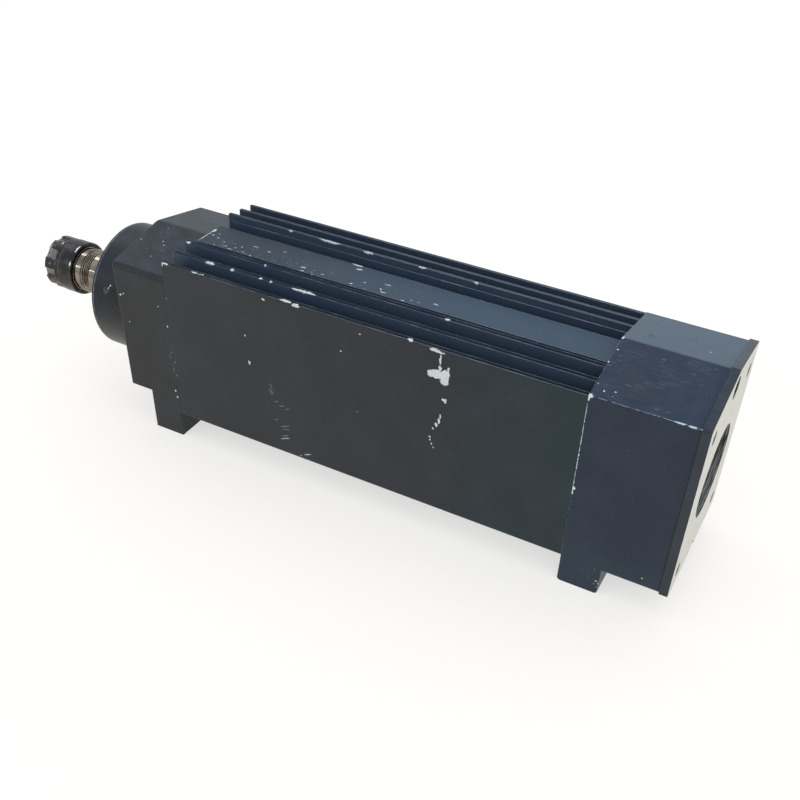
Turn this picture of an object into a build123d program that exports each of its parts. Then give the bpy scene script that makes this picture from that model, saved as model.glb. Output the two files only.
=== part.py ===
from build123d import *
import os
from math import cos, radians, sin, sqrt, tan

# Motor spindle for a woodworking or routing machine. Millimetres.
# X runs from the collet nose (-X) to the fan end (+X), Z is up, Y is across.
# The origin is the centre of the four foot holes, on the plane that the feet stand on.

# --- Finned body ---
body_length = 264.0
body_width = 92.0
axis_height = 73.0        # spindle axis above the mounting plane
body_drop = 54.4          # underside of the body below the spindle axis
side_rise = 55.0          # tip of the outermost fin above the spindle axis
fin_rise = 7.4            # how much higher a fin at the middle would be than the outermost one
fin_pitch = 11.4
fin_tip = 2.2
fin_flare = 0.5           # each face of a fin leans out by this much at its root
fins_per_side = 3
land_width = 23.4         # flat raised land along the middle of the top
land_rise = 54.5
bore_radius = 40.0
bore_wall = 5.0
body_corner = 1.5
duct_radius = 3.6         # lead duct along the land
duct_cover = 2.0

# --- Cap screws that clamp both caps to the body ---
tie_inset = 8.5           # screw axis from the side of the body
tie_z = 28.0              # above and below the spindle axis
m6_radius = 3.0
m6_head_radius = 5.0
m6_head_height = 6.0
m6_socket = 5.0           # across flats
m6_grip = 14.0            # thread length in the body
screw_fit = 0.05          # thread and shank clearance
screw_clearance = 0.3
recess_clearance = 0.4
channel_wall = 2.5        # metal above an upper screw channel

# --- Front cap ---
front_cap_length = 41.0
front_cap_inset = 1.1     # each side of the cap stands inside the body's side
front_crease_rise = 44.1  # above the spindle axis
front_ridge_rise = 53.0
front_step_drop = 44.2    # underside of the overhang, below the spindle axis
front_crease_fillet = 3.0
front_ridge_fillet = 8.0
front_edge_fillet = 1.2
cap_spigot = 6.0          # length of each cap's spigot in the body bore
spigot_fit = 0.05
spigot_wall = 6.0
front_foot_length = 21.6
front_foot_gap = 2.7      # from the foot to the body's end
front_web = 9.0           # solid web behind the front bearings
front_web_bore = 17.4

# --- Feet ---
rear_foot_length = 24.0
foot_relief_width = 40.0
foot_relief = 2.5
foot_hole_spacing = 66.0
foot_hole_radius = 3.4    # M8 tapping size
foot_hole_depth = 15.0
foot_corner = 2.0

# --- Nose flange that holds the front bearings ---
flange_radius = 41.0
flange_length = 28.6
flange_spigot = 5.4
flange_spigot_radius = 33.4
flange_chamfer = 1.6
flange_screw_circle = 35.5
flange_screws_count = 6
m4_radius = 2.0
m4_head_radius = 3.5
m4_head_height = 4.0
m4_socket = 3.0
m4_counterbore = 3.75
m4_grip = 9.0
tap_runout = 1.0          # thread left beyond the end of a screw
port_angle = 23.6         # grease port, above the horizontal on the -Y side
port_distance = 12.0      # port axis behind the front of the flange
port_radius = 2.5
port_plug_length = 6.0
port_recess = 0.3
plug_chamfer = 0.4

# --- Bearings ---
front_bearing_bore = 17.5
front_bearing_radius = 31.0
front_bearing_width = 14.0
rear_bearing_bore = 12.5
rear_bearing_radius = 26.0
rear_bearing_width = 15.0
seat_fit = 0.02
ball_fit = 0.06
cage_inset = 0.8          # how far the row of balls stands inside the races' faces
ring_share = 0.3          # radial share of the section that each race takes
spring_length = 2.0
spring_plate = 0.8
spring_share = 0.28       # radial share of the bearing's section that the spring covers

# --- Spindle shaft ---
neck_length = 38.6        # flange front to the rear of the collet nut
nose_radius = 15.0        # M30 nose thread, over the crests
relief_radius = 13.8      # groove behind the nut, where the nose thread runs out
relief_length = 1.2
neck_band = 4.4           # plain band behind the groove
seal_thread_radius = 14.6
seal_thread_length = 7.6
nose_depth = 15.4         # how far the nose stands inside the nut
nose_chamfer = 0.8
socket_mouth = 12.6
socket_depth = 29.0
socket_angle = 8.0
through_radius = 8.3
through_depth = 48.0
running_fit = 0.05
seal_radius = 21.0
seal_gap = 0.3
slinger_radius = 26.0
slinger_flange = 3.0
slinger_gap = 0.6
locknut_radius = 26.0
locknut_width = 8.0
locknut_slots = 4
locknut_slot_width = 5.0
locknut_slot_depth = 2.5
locknut_room = 2.0
slinger_chamfer = 1.0
rotor_seat = 16.5
tail_radius = 11.0
fan_seat = 8.0
shaft_end_margin = 3.0
shaft_end_chamfer = 0.6
circlip_groove = 0.6
circlip_fit = 0.05

# --- Collet and nut ---
collet_length = 34.0
collet_radius = 13.0
collet_front_radius = 10.6
collet_cone = 30.0
collet_rim = 1.0
collet_groove = 2.0
collet_groove_radius = 11.6
collet_bore = 6.0
collet_slots = 6
collet_slot_width = 1.0
collet_slot_turn = 10.0   # where the first slot lies round the collet, in degrees
collet_slot_rear_web = 5.0
collet_slot_front_web = 9.5
collet_setback = 0.5      # front of the collet behind the front of the nut
taper_gap = 0.08
nut_radius = 17.8
nut_length = 23.4
nut_front_radius = 17.5   # castellated front part
nut_front_length = 12.5
nut_notches = 8
nut_notch_width = 6.4
nut_notch_depth = 1.9
nut_notch_length = 9.0
nut_front_chamfer = 0.8
nut_rear_chamfer = 0.8
nut_cone_gap = 0.2
nut_lip_share = 0.125     # gap beside the nut's lip, as a share of the collet's groove
nose_end_gap = 1.0        # from the nose to the bottom of the nut's thread

# --- Motor ---
stator_front = 56.0       # body end to the front of the core
stator_length = 130.0
stator_fit = 0.04
stator_bore = 25.0
stator_slots = 18
stator_slot_width = 4.0
stator_slot_depth = 9.0
stator_tooth_lip = 1.6
coil_fit = 0.2
end_turn_length = 24.0
end_turn_lead = 5.0
end_turn_wall = 8.6
end_turn_chamfer = 2.5
air_gap = 0.4
rotor_cage_length = 8.0
rotor_cage_inner = 18.5
rotor_cage_drop = 1.0     # how far the end rings stand below the core's surface

# --- Rear cap, fan and lid ---
rear_cap_length = 57.0
rear_drop = 55.2          # underside below the spindle axis
rear_ridge_rise = 63.7
rear_crease_rise = 55.4
rear_wall = 3.2
rear_web = 10.0
rear_hub_wall = 5.0
shaft_hole = 13.5
window_margin = 4.0
rear_corner = 1.2
boss_radius = 4.6
lid_thickness = 5.0
lid_proud = 1.1
lid_corner = 2.2
lid_screw_y = 34.5
lid_screw_drop = 10.6     # below the crease, and the same above the lower edge
lid_screw_length = 12.0
lid_screw_sink = 0.2      # head below the lid's face
lid_screw_socket = 2.5
lid_screw_socket_depth = 2.2
inlet_radius = 26.7
guard_lap = 2.3           # how far the guard reaches behind the rim of the inlet
guard_rim = 1.1           # plain rim of the guard that shows inside the inlet
guard_thickness = 1.0
guard_fit = 0.2
guard_pitch = 5.0
guard_bar = 1.2
guard_rows = 11
grommet_drop = 9.7        # below the ridge of the cap
grommet_radius = 5.0
grommet_rim = 6.2
grommet_rim_depth = 1.5
grommet_bore = 3.4
grommet_fit = 0.1
grommet_inner_length = 2.0
drain_radius = 4.0
fan_radius = 37.0
fan_gap = 4.0             # web to fan
fan_plate = 2.0
fan_blade_length = 30.0
fan_blade = 1.8
fan_blades = 9
fan_hub = 14.0
fan_hub_extra = 3.0
fan_sweep = 5.0
circlip_width = 1.2
circlip_wall = 2.6
circlip_opening = 60.0

# --- Stations along X ---
foot_span = front_foot_length / 2 + front_foot_gap + body_length + rear_foot_length / 2
body_front = -foot_span / 2 + front_foot_length / 2 + front_foot_gap
body_rear = body_front + body_length
cap_front = body_front - front_cap_length
front_foot_rear = body_front - front_foot_gap
front_foot_front = front_foot_rear - front_foot_length
flange_front = cap_front - flange_length
front_bearings_rear = cap_front + flange_spigot
front_bearings_front = front_bearings_rear - 2 * front_bearing_width
nut_rear = flange_front - neck_length
nut_front = nut_rear - nut_length
nose_face = nut_rear - nose_depth
collet_front = nut_front + collet_setback
collet_rear = collet_front + collet_length
cone_length = (collet_radius - collet_front_radius) / tan(radians(collet_cone))
groove_front = collet_front + cone_length + collet_rim
groove_rear = groove_front + collet_groove
locknut_rear = front_bearings_rear + locknut_width
locknut_room_rear = locknut_rear + locknut_room
web_rear = locknut_room_rear + front_web
core_front = body_front + stator_front
core_rear = core_front + stator_length
rear_bearing_front = body_rear - rear_bearing_width
web_face = body_rear + rear_web
lid_front = body_rear + rear_cap_length
lid_rear = lid_front + lid_thickness
fan_front = web_face + fan_gap
fan_rear = fan_front + fan_plate + fan_blade_length
hub_rear = fan_rear + fan_hub_extra
shaft_rear = hub_rear + circlip_width + shaft_end_margin

half_width = body_width / 2
body_base = axis_height - body_drop
side_top = axis_height + side_rise
land_top = axis_height + land_rise
front_crease = axis_height + front_crease_rise
front_ridge = axis_height + front_ridge_rise
front_step = axis_height - front_step_drop
rear_base = axis_height - rear_drop
rear_ridge = axis_height + rear_ridge_rise
rear_crease = axis_height + rear_crease_rise
front_half = half_width - front_cap_inset
tie_y = half_width - tie_inset
grommet_height = rear_ridge - grommet_drop
tie_places = [(y, axis_height + z) for y in (-tie_y, tie_y) for z in (-tie_z, tie_z)]
lid_base = rear_base - lid_proud
lid_places = [(y, z) for y in (-lid_screw_y, lid_screw_y)
              for z in (rear_base + lid_screw_drop, rear_crease - lid_screw_drop)]
spindle_axis = Axis((0, 0, axis_height), (1, 0, 0))
lathe_plane = Plane(origin=(0, 0, axis_height), x_dir=(1, 0, 0), z_dir=(0, -1, 0))


def across(x):
    """Plane square to the spindle at x, with its origin on the mounting plane."""
    return Plane.YZ.offset(x)


def on_axis(x):
    """Plane square to the spindle at x, with its origin on the spindle axis."""
    return Plane(origin=(x, 0, axis_height), x_dir=(0, 1, 0), z_dir=(1, 0, 0))


def turned(points):
    """Half section on the lathe plane from a closed outline of (x, radius) points."""
    with BuildSketch(lathe_plane) as half_section:
        with BuildLine():
            Polyline(*points, close=True)
        make_face()
    return half_section.sketch


def ring(front, rear, inner, outer):
    """Half section of a plain ring between two stations."""
    return turned([(front, inner), (rear, inner), (rear, outer), (front, outer)])


def gable(half, base, crease, ridge):
    """Corner points of a five-sided casing section, from the -Y lower corner."""
    return [(-half, base), (half, base), (half, crease), (0, ridge), (-half, crease)]


def slot_outline(side, index, top):
    """Gap between two fins: index 0 is the outermost, and the last one lies beside the land."""
    outer = half_width - fin_tip - index * fin_pitch
    inner = outer - (fin_pitch - fin_tip)
    if index == fins_per_side - 1:
        inner = land_width / 2
    floor = axis_height + sqrt((bore_radius + bore_wall) ** 2 - inner ** 2)
    if index == 0:
        floor = max(floor, axis_height + tie_z + m6_radius + channel_wall)
    return [(side * outer, top), (side * (outer - fin_flare), floor),
            (side * (inner + fin_flare), floor), (side * inner, top)]


slots = [(side, index) for side in (-1, 1) for index in range(fins_per_side)]
os.makedirs("parts", exist_ok=True)

# --- Finned body: one aluminium extrusion, cut to length and bored for the stator ---
over = side_top + fin_rise + 1
with BuildPart() as motor_body:
    with BuildSketch(across(body_front)) as body_section:
        with BuildLine():
            Polyline(*gable(half_width, body_base, side_top, side_top + fin_rise), close=True)
        make_face()
        fillet(body_section.vertices().group_by(Axis.Y)[0], body_corner)
        with Locations((0, axis_height)):
            Circle(bore_radius, mode=Mode.SUBTRACT)
        with Locations((0, land_top)):
            Rectangle(land_width + 2 * (fin_pitch - fin_tip), over,
                      align=(Align.CENTER, Align.MIN), mode=Mode.SUBTRACT)
        for side, index in slots:
            with BuildLine():
                Polyline(*slot_outline(side, index, over), close=True)
            make_face(mode=Mode.SUBTRACT)
        with Locations(*tie_places):
            Circle(m6_radius + screw_fit, mode=Mode.SUBTRACT)
        with Locations((0, land_top - duct_cover - duct_radius)):
            Circle(duct_radius, mode=Mode.SUBTRACT)
    extrude(amount=body_length)
motor_body.part.label = "motor_body"
export_step(motor_body.part, "parts/motor_body.step")

# --- Front cap: cast bearing shield with an overhung nose, a foot and a spigot ---
with BuildPart() as front_cap:
    with BuildSketch(across(cap_front)) as cap_section:
        with BuildLine():
            Polyline(*gable(front_half, 0, front_crease, front_ridge), close=True)
        make_face()
        fillet(cap_section.vertices().sort_by(Axis.Y)[-1], front_ridge_fillet)
        fillet(cap_section.vertices().group_by(Axis.Y)[1], front_crease_fillet)
    extrude(amount=front_cap_length)
    with BuildSketch(Plane.XZ):
        with Locations((cap_front, front_step)):
            Rectangle(front_foot_front - cap_front, front_step, align=(Align.MIN, Align.MAX))
        with Locations((front_foot_rear, body_base)):
            Rectangle(front_foot_gap, body_base, align=(Align.MIN, Align.MAX))
    extrude(amount=body_width, both=True, mode=Mode.SUBTRACT)
    fillet(front_cap.faces().sort_by(Axis.X)[0].edges(), front_edge_fillet)
    with BuildSketch(Plane.XZ):
        with Locations((front_foot_front, 0)):
            Rectangle(front_foot_length, foot_relief, align=(Align.MIN, Align.MIN))
    extrude(amount=foot_relief_width / 2, both=True, mode=Mode.SUBTRACT)
    revolve(ring(body_front, body_front + cap_spigot, bore_radius - spigot_wall,
                 bore_radius - spigot_fit), axis=spindle_axis)
    revolve(turned([(cap_front, 0), (cap_front, flange_spigot_radius + spigot_fit),
                    (front_bearings_rear, flange_spigot_radius + spigot_fit),
                    (front_bearings_rear, locknut_radius + locknut_room),
                    (locknut_room_rear, locknut_radius + locknut_room),
                    (locknut_room_rear, front_web_bore), (web_rear, front_web_bore),
                    (web_rear, bore_radius - spigot_wall),
                    (body_front, bore_radius - spigot_wall), (body_front, 0)]),
            axis=spindle_axis, mode=Mode.SUBTRACT)
    with BuildSketch(across(cap_front)):
        with Locations(*tie_places):
            Circle(m6_head_radius + recess_clearance)
    extrude(amount=m6_head_height + recess_clearance, mode=Mode.SUBTRACT)
    with BuildSketch(across(cap_front)):
        with Locations(*tie_places):
            Circle(m6_radius + screw_clearance)
    extrude(amount=front_cap_length, mode=Mode.SUBTRACT)
    with BuildSketch(on_axis(cap_front)):
        with PolarLocations(flange_screw_circle, flange_screws_count):
            Circle(m4_radius + screw_fit)
    extrude(amount=m4_grip + tap_runout, mode=Mode.SUBTRACT)
    with BuildSketch(Plane.XY):
        with Locations((-foot_span / 2, -foot_hole_spacing / 2),
                       (-foot_span / 2, foot_hole_spacing / 2)):
            Circle(foot_hole_radius)
    extrude(amount=foot_hole_depth, mode=Mode.SUBTRACT)
front_cap.part.label = "front_cap"
export_step(front_cap.part, "parts/front_cap.step")

# --- Nose flange: turned bearing housing, bolted and spigoted to the front cap ---
head_recess = m4_head_height + recess_clearance
port_station = flange_front + port_distance
port_out = (0, -cos(radians(port_angle)), sin(radians(port_angle)))
port_plane = Plane(origin=(port_station, 0, axis_height), x_dir=(1, 0, 0), z_dir=port_out)
with BuildPart() as nose_flange:
    revolve(turned([(flange_front, seal_radius + seal_gap),
                    (flange_front, flange_radius - flange_chamfer),
                    (flange_front + flange_chamfer, flange_radius),
                    (cap_front, flange_radius), (cap_front, flange_spigot_radius),
                    (front_bearings_rear, flange_spigot_radius),
                    (front_bearings_rear, front_bearing_radius + seat_fit),
                    (front_bearings_front, front_bearing_radius + seat_fit),
                    (front_bearings_front, seal_radius + seal_gap)]), axis=spindle_axis)
    with BuildSketch(on_axis(flange_front)):
        with PolarLocations(flange_screw_circle, flange_screws_count):
            Circle(m4_counterbore)
    extrude(amount=head_recess, mode=Mode.SUBTRACT)
    with BuildSketch(on_axis(flange_front)):
        with PolarLocations(flange_screw_circle, flange_screws_count):
            Circle(m4_radius + screw_fit)
    extrude(amount=flange_length, mode=Mode.SUBTRACT)
    with BuildSketch(port_plane.offset(front_bearing_radius - port_radius)):
        Circle(port_radius)
    extrude(amount=flange_radius, mode=Mode.SUBTRACT)
nose_flange.part.label = "nose_flange"
export_step(nose_flange.part, "parts/nose_flange.step")

# --- Grease port plug: plain turned plug, pressed into the side of the flange ---
with BuildPart() as port_plug:
    with BuildSketch(port_plane.offset(flange_radius - port_recess - port_plug_length)):
        Circle(port_radius - screw_fit)
    extrude(amount=port_plug_length)
    chamfer(port_plug.edges().sort_by(Axis((0, 0, axis_height), port_out))[-1], plug_chamfer)
port_plug.part.label = "port_plug"
export_step(port_plug.part, "parts/port_plug.step")


def socket_screws(name, places, plane, head_radius, head_height, shank_radius, length, hexagon):
    """A set of socket head cap screws that start at a plane and point along its +Z."""
    with BuildPart() as screws:
        with BuildSketch(plane):
            with Locations(*places):
                Circle(head_radius)
        extrude(amount=head_height)
        with BuildSketch(plane.offset(head_height)):
            with Locations(*places):
                Circle(shank_radius)
        extrude(amount=length)
        with BuildSketch(plane):
            with Locations(*places):
                RegularPolygon(hexagon / 2, 6, major_radius=False)
        extrude(amount=head_height / 2, mode=Mode.SUBTRACT)
    screws.part.label = name
    export_step(screws.part, f"parts/{name}.step")


# --- Flange screws: M4, through the wall of the flange into the front cap ---
flange_screw_angles = [radians(360 / flange_screws_count * k) for k in range(flange_screws_count)]
flange_screw_places = [(flange_screw_circle * cos(angle), flange_screw_circle * sin(angle))
                       for angle in flange_screw_angles]
socket_screws("flange_screws", flange_screw_places, on_axis(flange_front + recess_clearance),
              m4_head_radius, m4_head_height, m4_radius, flange_length - head_recess + m4_grip,
              m4_socket)

# --- Front tie screws: M6, front cap to body ---
socket_screws("front_tie_screws", tie_places, across(cap_front + recess_clearance), m6_head_radius,
              m6_head_height, m6_radius,
              front_cap_length - recess_clearance - m6_head_height + m6_grip, m6_socket)


def bearing(name, front, bore, outer, width):
    """Ball bearing: outer race, inner race, and the caged balls as one ring between them."""
    rear = front + width
    race = ring_share * (outer - bore)
    with BuildPart() as outer_race:
        revolve(ring(front, rear, outer - race, outer), axis=spindle_axis)
    outer_race.part.label = name + "_outer_race"
    export_step(outer_race.part, f"parts/{name}_outer_race.step")
    with BuildPart() as inner_race:
        revolve(ring(front, rear, bore + seat_fit, bore + race), axis=spindle_axis)
    inner_race.part.label = name + "_inner_race"
    export_step(inner_race.part, f"parts/{name}_inner_race.step")
    with BuildPart() as caged_balls:
        revolve(ring(front + cage_inset, rear - cage_inset, bore + race + ball_fit,
                     outer - race - ball_fit), axis=spindle_axis)
    caged_balls.part.label = name + "_balls"
    export_step(caged_balls.part, f"parts/{name}_balls.step")


# --- Bearings: a pair at the nose and one at the fan end ---
bearing("front_bearing_a", front_bearings_front, front_bearing_bore, front_bearing_radius,
        front_bearing_width)
bearing("front_bearing_b", front_bearings_front + front_bearing_width, front_bearing_bore,
        front_bearing_radius, front_bearing_width)
bearing("rear_bearing", rear_bearing_front, rear_bearing_bore, rear_bearing_radius,
        rear_bearing_width)

# --- Preload spring: a coned disc behind the rear bearing's outer race ---
with BuildPart() as preload_spring:
    spring_rear = body_rear + spring_length
    spring_bore = rear_bearing_radius - spring_share * (rear_bearing_radius - rear_bearing_bore)
    revolve(turned([(spring_rear - spring_plate, spring_bore), (spring_rear, spring_bore),
                    (body_rear + spring_plate, rear_bearing_radius),
                    (body_rear, rear_bearing_radius)]), axis=spindle_axis)
preload_spring.part.label = "preload_spring"
export_step(preload_spring.part, "parts/preload_spring.step")

# --- Spindle shaft: one turned and ground steel shaft with a collet taper in its nose ---
slinger_front = flange_front - slinger_gap - slinger_flange
with BuildPart() as spindle_shaft:
    relief_rear = nut_rear + relief_length
    thread_front = relief_rear + neck_band
    thread_rear = thread_front + seal_thread_length
    step_rear = body_rear + spring_length
    groove_end = hub_rear + circlip_width + 2 * circlip_fit
    revolve(turned([(nose_face, 0), (nose_face, nose_radius - nose_chamfer),
                    (nose_face + nose_chamfer, nose_radius),
                    (nut_rear, nose_radius), (nut_rear, relief_radius),
                    (relief_rear, relief_radius), (relief_rear, nose_radius),
                    (thread_front, nose_radius), (thread_front, seal_thread_radius),
                    (thread_rear, seal_thread_radius), (thread_rear, nose_radius),
                    (slinger_front, nose_radius), (slinger_front, front_bearing_bore),
                    (locknut_rear, front_bearing_bore), (locknut_rear, rotor_seat),
                    (rear_bearing_front, rotor_seat), (rear_bearing_front, rear_bearing_bore),
                    (step_rear, rear_bearing_bore), (step_rear, tail_radius),
                    (fan_front, tail_radius), (fan_front, fan_seat),
                    (hub_rear, fan_seat), (hub_rear, fan_seat - circlip_groove),
                    (groove_end, fan_seat - circlip_groove), (groove_end, fan_seat),
                    (shaft_rear - shaft_end_chamfer, fan_seat),
                    (shaft_rear, fan_seat - shaft_end_chamfer), (shaft_rear, 0)]),
            axis=spindle_axis)
    socket_rear = nose_face + socket_depth
    revolve(turned([(nose_face, 0), (nose_face, socket_mouth),
                    (socket_rear, socket_mouth - socket_depth * tan(radians(socket_angle))),
                    (socket_rear, through_radius), (nose_face + through_depth, through_radius),
                    (nose_face + through_depth, 0)]), axis=spindle_axis, mode=Mode.SUBTRACT)
spindle_shaft.part.label = "spindle_shaft"
export_step(spindle_shaft.part, "parts/spindle_shaft.step")

# --- Slinger: turned ring on the shaft that closes the flange as a labyrinth ---
with BuildPart() as slinger_ring:
    slinger_rear = slinger_front + slinger_flange
    revolve(turned([(slinger_front, front_bearing_bore + seat_fit),
                    (slinger_front, slinger_radius - slinger_chamfer),
                    (slinger_front + slinger_chamfer, slinger_radius),
                    (slinger_rear, slinger_radius), (slinger_rear, seal_radius),
                    (front_bearings_front, seal_radius),
                    (front_bearings_front, front_bearing_bore + seat_fit)]), axis=spindle_axis)
slinger_ring.part.label = "slinger_ring"
export_step(slinger_ring.part, "parts/slinger_ring.step")

# --- Lock nut: clamps the inner races of the front pair ---
with BuildPart() as lock_nut:
    revolve(ring(front_bearings_rear, locknut_rear, front_bearing_bore + seat_fit, locknut_radius),
            axis=spindle_axis)
    with BuildSketch(on_axis(front_bearings_rear)):
        with PolarLocations(locknut_radius, locknut_slots):
            Rectangle(2 * locknut_slot_depth, locknut_slot_width)
    extrude(amount=locknut_width, mode=Mode.SUBTRACT)
lock_nut.part.label = "lock_nut"
export_step(lock_nut.part, "parts/lock_nut.step")

# --- Collet: spring steel, slit from both ends by turns so that it closes evenly ---
with BuildPart() as collet:
    slope = tan(radians(socket_angle))
    taper_top = socket_mouth - taper_gap + (nose_face - groove_rear) * slope
    taper_end = socket_mouth - taper_gap - (collet_rear - nose_face) * slope
    revolve(turned([(collet_front, collet_bore), (collet_front, collet_front_radius),
                    (collet_front + cone_length, collet_radius), (groove_front, collet_radius),
                    (groove_front, collet_groove_radius), (groove_rear, collet_groove_radius),
                    (groove_rear, taper_top), (collet_rear, taper_end),
                    (collet_rear, collet_bore)]), axis=spindle_axis)
    slot_middle = (collet_bore + collet_radius) / 2
    with BuildSketch(on_axis(collet_front)):
        with PolarLocations(slot_middle, collet_slots, start_angle=collet_slot_turn):
            Rectangle(collet_radius, collet_slot_width)
    extrude(amount=collet_length - collet_slot_rear_web, mode=Mode.SUBTRACT)
    with BuildSketch(on_axis(collet_rear)):
        with PolarLocations(slot_middle, collet_slots,
                            start_angle=collet_slot_turn + 180 / collet_slots):
            Rectangle(collet_radius, collet_slot_width)
    extrude(amount=collet_slot_front_web - collet_length, mode=Mode.SUBTRACT)
collet.part.label = "collet"
export_step(collet.part, "parts/collet.step")

# --- Collet nut: hardened steel ring nut, castellated at the front for its spanner ---
with BuildPart() as collet_nut:
    mouth = collet_front_radius + nut_cone_gap
    rim = collet_radius + nut_cone_gap
    lip_radius = (collet_groove_radius + collet_radius) / 2
    lip_gap = collet_groove * nut_lip_share
    shoulder = nut_front + nut_front_length
    thread_end = nose_face - nose_end_gap
    revolve(turned([(nut_front, mouth), (nut_front, nut_front_radius - nut_front_chamfer),
                    (nut_front + nut_front_chamfer, nut_front_radius),
                    (shoulder, nut_front_radius), (shoulder, nut_radius),
                    (nut_rear - nut_rear_chamfer, nut_radius),
                    (nut_rear, nut_radius - nut_rear_chamfer), (nut_rear, nose_radius + running_fit),
                    (thread_end, nose_radius + running_fit), (thread_end, rim),
                    (groove_rear - lip_gap, rim), (groove_rear - lip_gap, lip_radius),
                    (groove_front + lip_gap, lip_radius), (groove_front + lip_gap, rim),
                    (collet_front + cone_length, rim), (collet_front, mouth)]),
            axis=spindle_axis)
    with BuildSketch(on_axis(nut_front)):
        with PolarLocations(nut_radius, nut_notches):
            Rectangle(2 * (nut_notch_depth + nut_radius - nut_front_radius), nut_notch_width)
    extrude(amount=nut_notch_length, mode=Mode.SUBTRACT)
collet_nut.part.label = "collet_nut"
export_step(collet_nut.part, "parts/collet_nut.step")

# --- Stator core: stacked laminations with open slots, shrunk into the body ---
slot_inner = stator_bore + stator_tooth_lip
with BuildPart() as stator_core:
    revolve(ring(core_front, core_rear, stator_bore, bore_radius - stator_fit), axis=spindle_axis)
    with BuildSketch(on_axis(core_front)):
        with PolarLocations(slot_inner + stator_slot_depth / 2, stator_slots):
            Rectangle(stator_slot_depth, stator_slot_width)
        with PolarLocations(stator_bore + stator_tooth_lip / 2, stator_slots):
            Rectangle(2 * stator_tooth_lip, stator_slot_width / 3)
    extrude(amount=stator_length, mode=Mode.SUBTRACT)
stator_core.part.label = "stator_core"
export_step(stator_core.part, "parts/stator_core.step")

# --- Windings: coil sides in the slots, joined by the lashed end turns ---
with BuildPart() as stator_windings:
    coil_inner = slot_inner + coil_fit
    coil_outer = slot_inner + stator_slot_depth - coil_fit
    with BuildSketch(on_axis(core_front - end_turn_lead)):
        with PolarLocations((coil_inner + coil_outer) / 2, stator_slots):
            Rectangle(coil_outer - coil_inner, stator_slot_width - 2 * coil_fit)
    extrude(amount=stator_length + 2 * end_turn_lead)
    turn_outer = coil_inner + end_turn_wall
    for inner_end, way in ((core_front - end_turn_lead, -1), (core_rear + end_turn_lead, 1)):
        outer_end = inner_end + way * end_turn_length
        shoulder = outer_end - way * end_turn_chamfer
        revolve(turned([(inner_end, coil_inner), (shoulder, coil_inner),
                        (outer_end, coil_inner + end_turn_chamfer),
                        (outer_end, turn_outer - end_turn_chamfer), (shoulder, turn_outer),
                        (inner_end, turn_outer)]), axis=spindle_axis)
stator_windings.part.label = "stator_windings"
export_step(stator_windings.part, "parts/stator_windings.step")

# --- Rotor core and its cast end rings ---
with BuildPart() as rotor_core:
    revolve(ring(core_front, core_rear, rotor_seat + seat_fit, stator_bore - air_gap),
            axis=spindle_axis)
rotor_core.part.label = "rotor_core"
export_step(rotor_core.part, "parts/rotor_core.step")

with BuildPart() as rotor_end_rings:
    for start in (core_front - rotor_cage_length, core_rear):
        revolve(ring(start, start + rotor_cage_length, rotor_cage_inner,
                     stator_bore - air_gap - rotor_cage_drop), axis=spindle_axis)
rotor_end_rings.part.label = "rotor_end_rings"
export_step(rotor_end_rings.part, "parts/rotor_end_rings.step")

# --- Rear cap: cast shield with the rear bearing seat, a foot and the fan chamber ---
with BuildPart() as rear_cap:
    with BuildSketch(across(body_rear)) as rear_section:
        with BuildLine():
            Polyline(*gable(half_width, rear_base, rear_crease, rear_ridge), close=True)
        make_face()
        fillet(rear_section.vertices().group_by(Axis.Y)[0], rear_corner)
    extrude(amount=rear_cap_length)
    with BuildSketch(across(body_rear)):
        Rectangle(body_width, rear_base + rear_corner, align=(Align.CENTER, Align.MIN))
    extrude(amount=rear_foot_length)
    with BuildSketch(across(web_face)):
        with BuildLine():
            Polyline(*gable(half_width - rear_wall, rear_base + rear_wall,
                            rear_crease - rear_wall, rear_ridge - rear_wall), close=True)
        make_face()
    extrude(amount=rear_cap_length - rear_web, mode=Mode.SUBTRACT)
    fillet(rear_cap.faces().sort_by(Axis.Z)[0].edges().filter_by(Axis.Y), foot_corner)
    with BuildSketch(across(body_rear)):
        Rectangle(foot_relief_width, foot_relief, align=(Align.CENTER, Align.MIN))
    extrude(amount=rear_foot_length, mode=Mode.SUBTRACT)
    with BuildSketch(across(web_face)):
        with Locations(*lid_places):
            Circle(boss_radius)
        for y, z in lid_places:
            with Locations((y, z)):
                Rectangle(half_width - rear_wall / 2 - lid_screw_y, 2 * boss_radius,
                          align=(Align.MIN if y > 0 else Align.MAX, Align.CENTER))
    extrude(amount=rear_cap_length - rear_web)
    with BuildSketch(across(body_rear)):
        for side, index in slots:
            with BuildLine():
                Polyline(*slot_outline(side, index, rear_crease - window_margin), close=True)
            make_face()
    extrude(amount=rear_web, mode=Mode.SUBTRACT)
    revolve(ring(body_rear - cap_spigot, body_rear, bore_radius - spigot_wall,
                 bore_radius - spigot_fit), axis=spindle_axis)
    revolve(ring(rear_bearing_front, body_rear, rear_bearing_radius + seat_fit,
                 rear_bearing_radius + rear_hub_wall), axis=spindle_axis)
    revolve(turned([(body_rear, 0), (body_rear, rear_bearing_radius + seat_fit),
                    (body_rear + spring_length, rear_bearing_radius + seat_fit),
                    (body_rear + spring_length, shaft_hole), (web_face, shaft_hole),
                    (web_face, 0)]), axis=spindle_axis, mode=Mode.SUBTRACT)
    with BuildSketch(across(body_rear)):
        with Locations(*tie_places):
            Circle(m6_radius + screw_clearance)
    extrude(amount=rear_web, mode=Mode.SUBTRACT)
    with BuildSketch(across(lid_front)):
        with Locations(*lid_places):
            Circle(m4_radius + screw_fit)
    extrude(amount=-lid_screw_length, mode=Mode.SUBTRACT)
    with BuildSketch(Plane.XY):
        with Locations((foot_span / 2, -foot_hole_spacing / 2),
                       (foot_span / 2, foot_hole_spacing / 2)):
            Circle(foot_hole_radius)
    extrude(amount=foot_hole_depth, mode=Mode.SUBTRACT)
rear_cap.part.label = "rear_cap"
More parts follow.
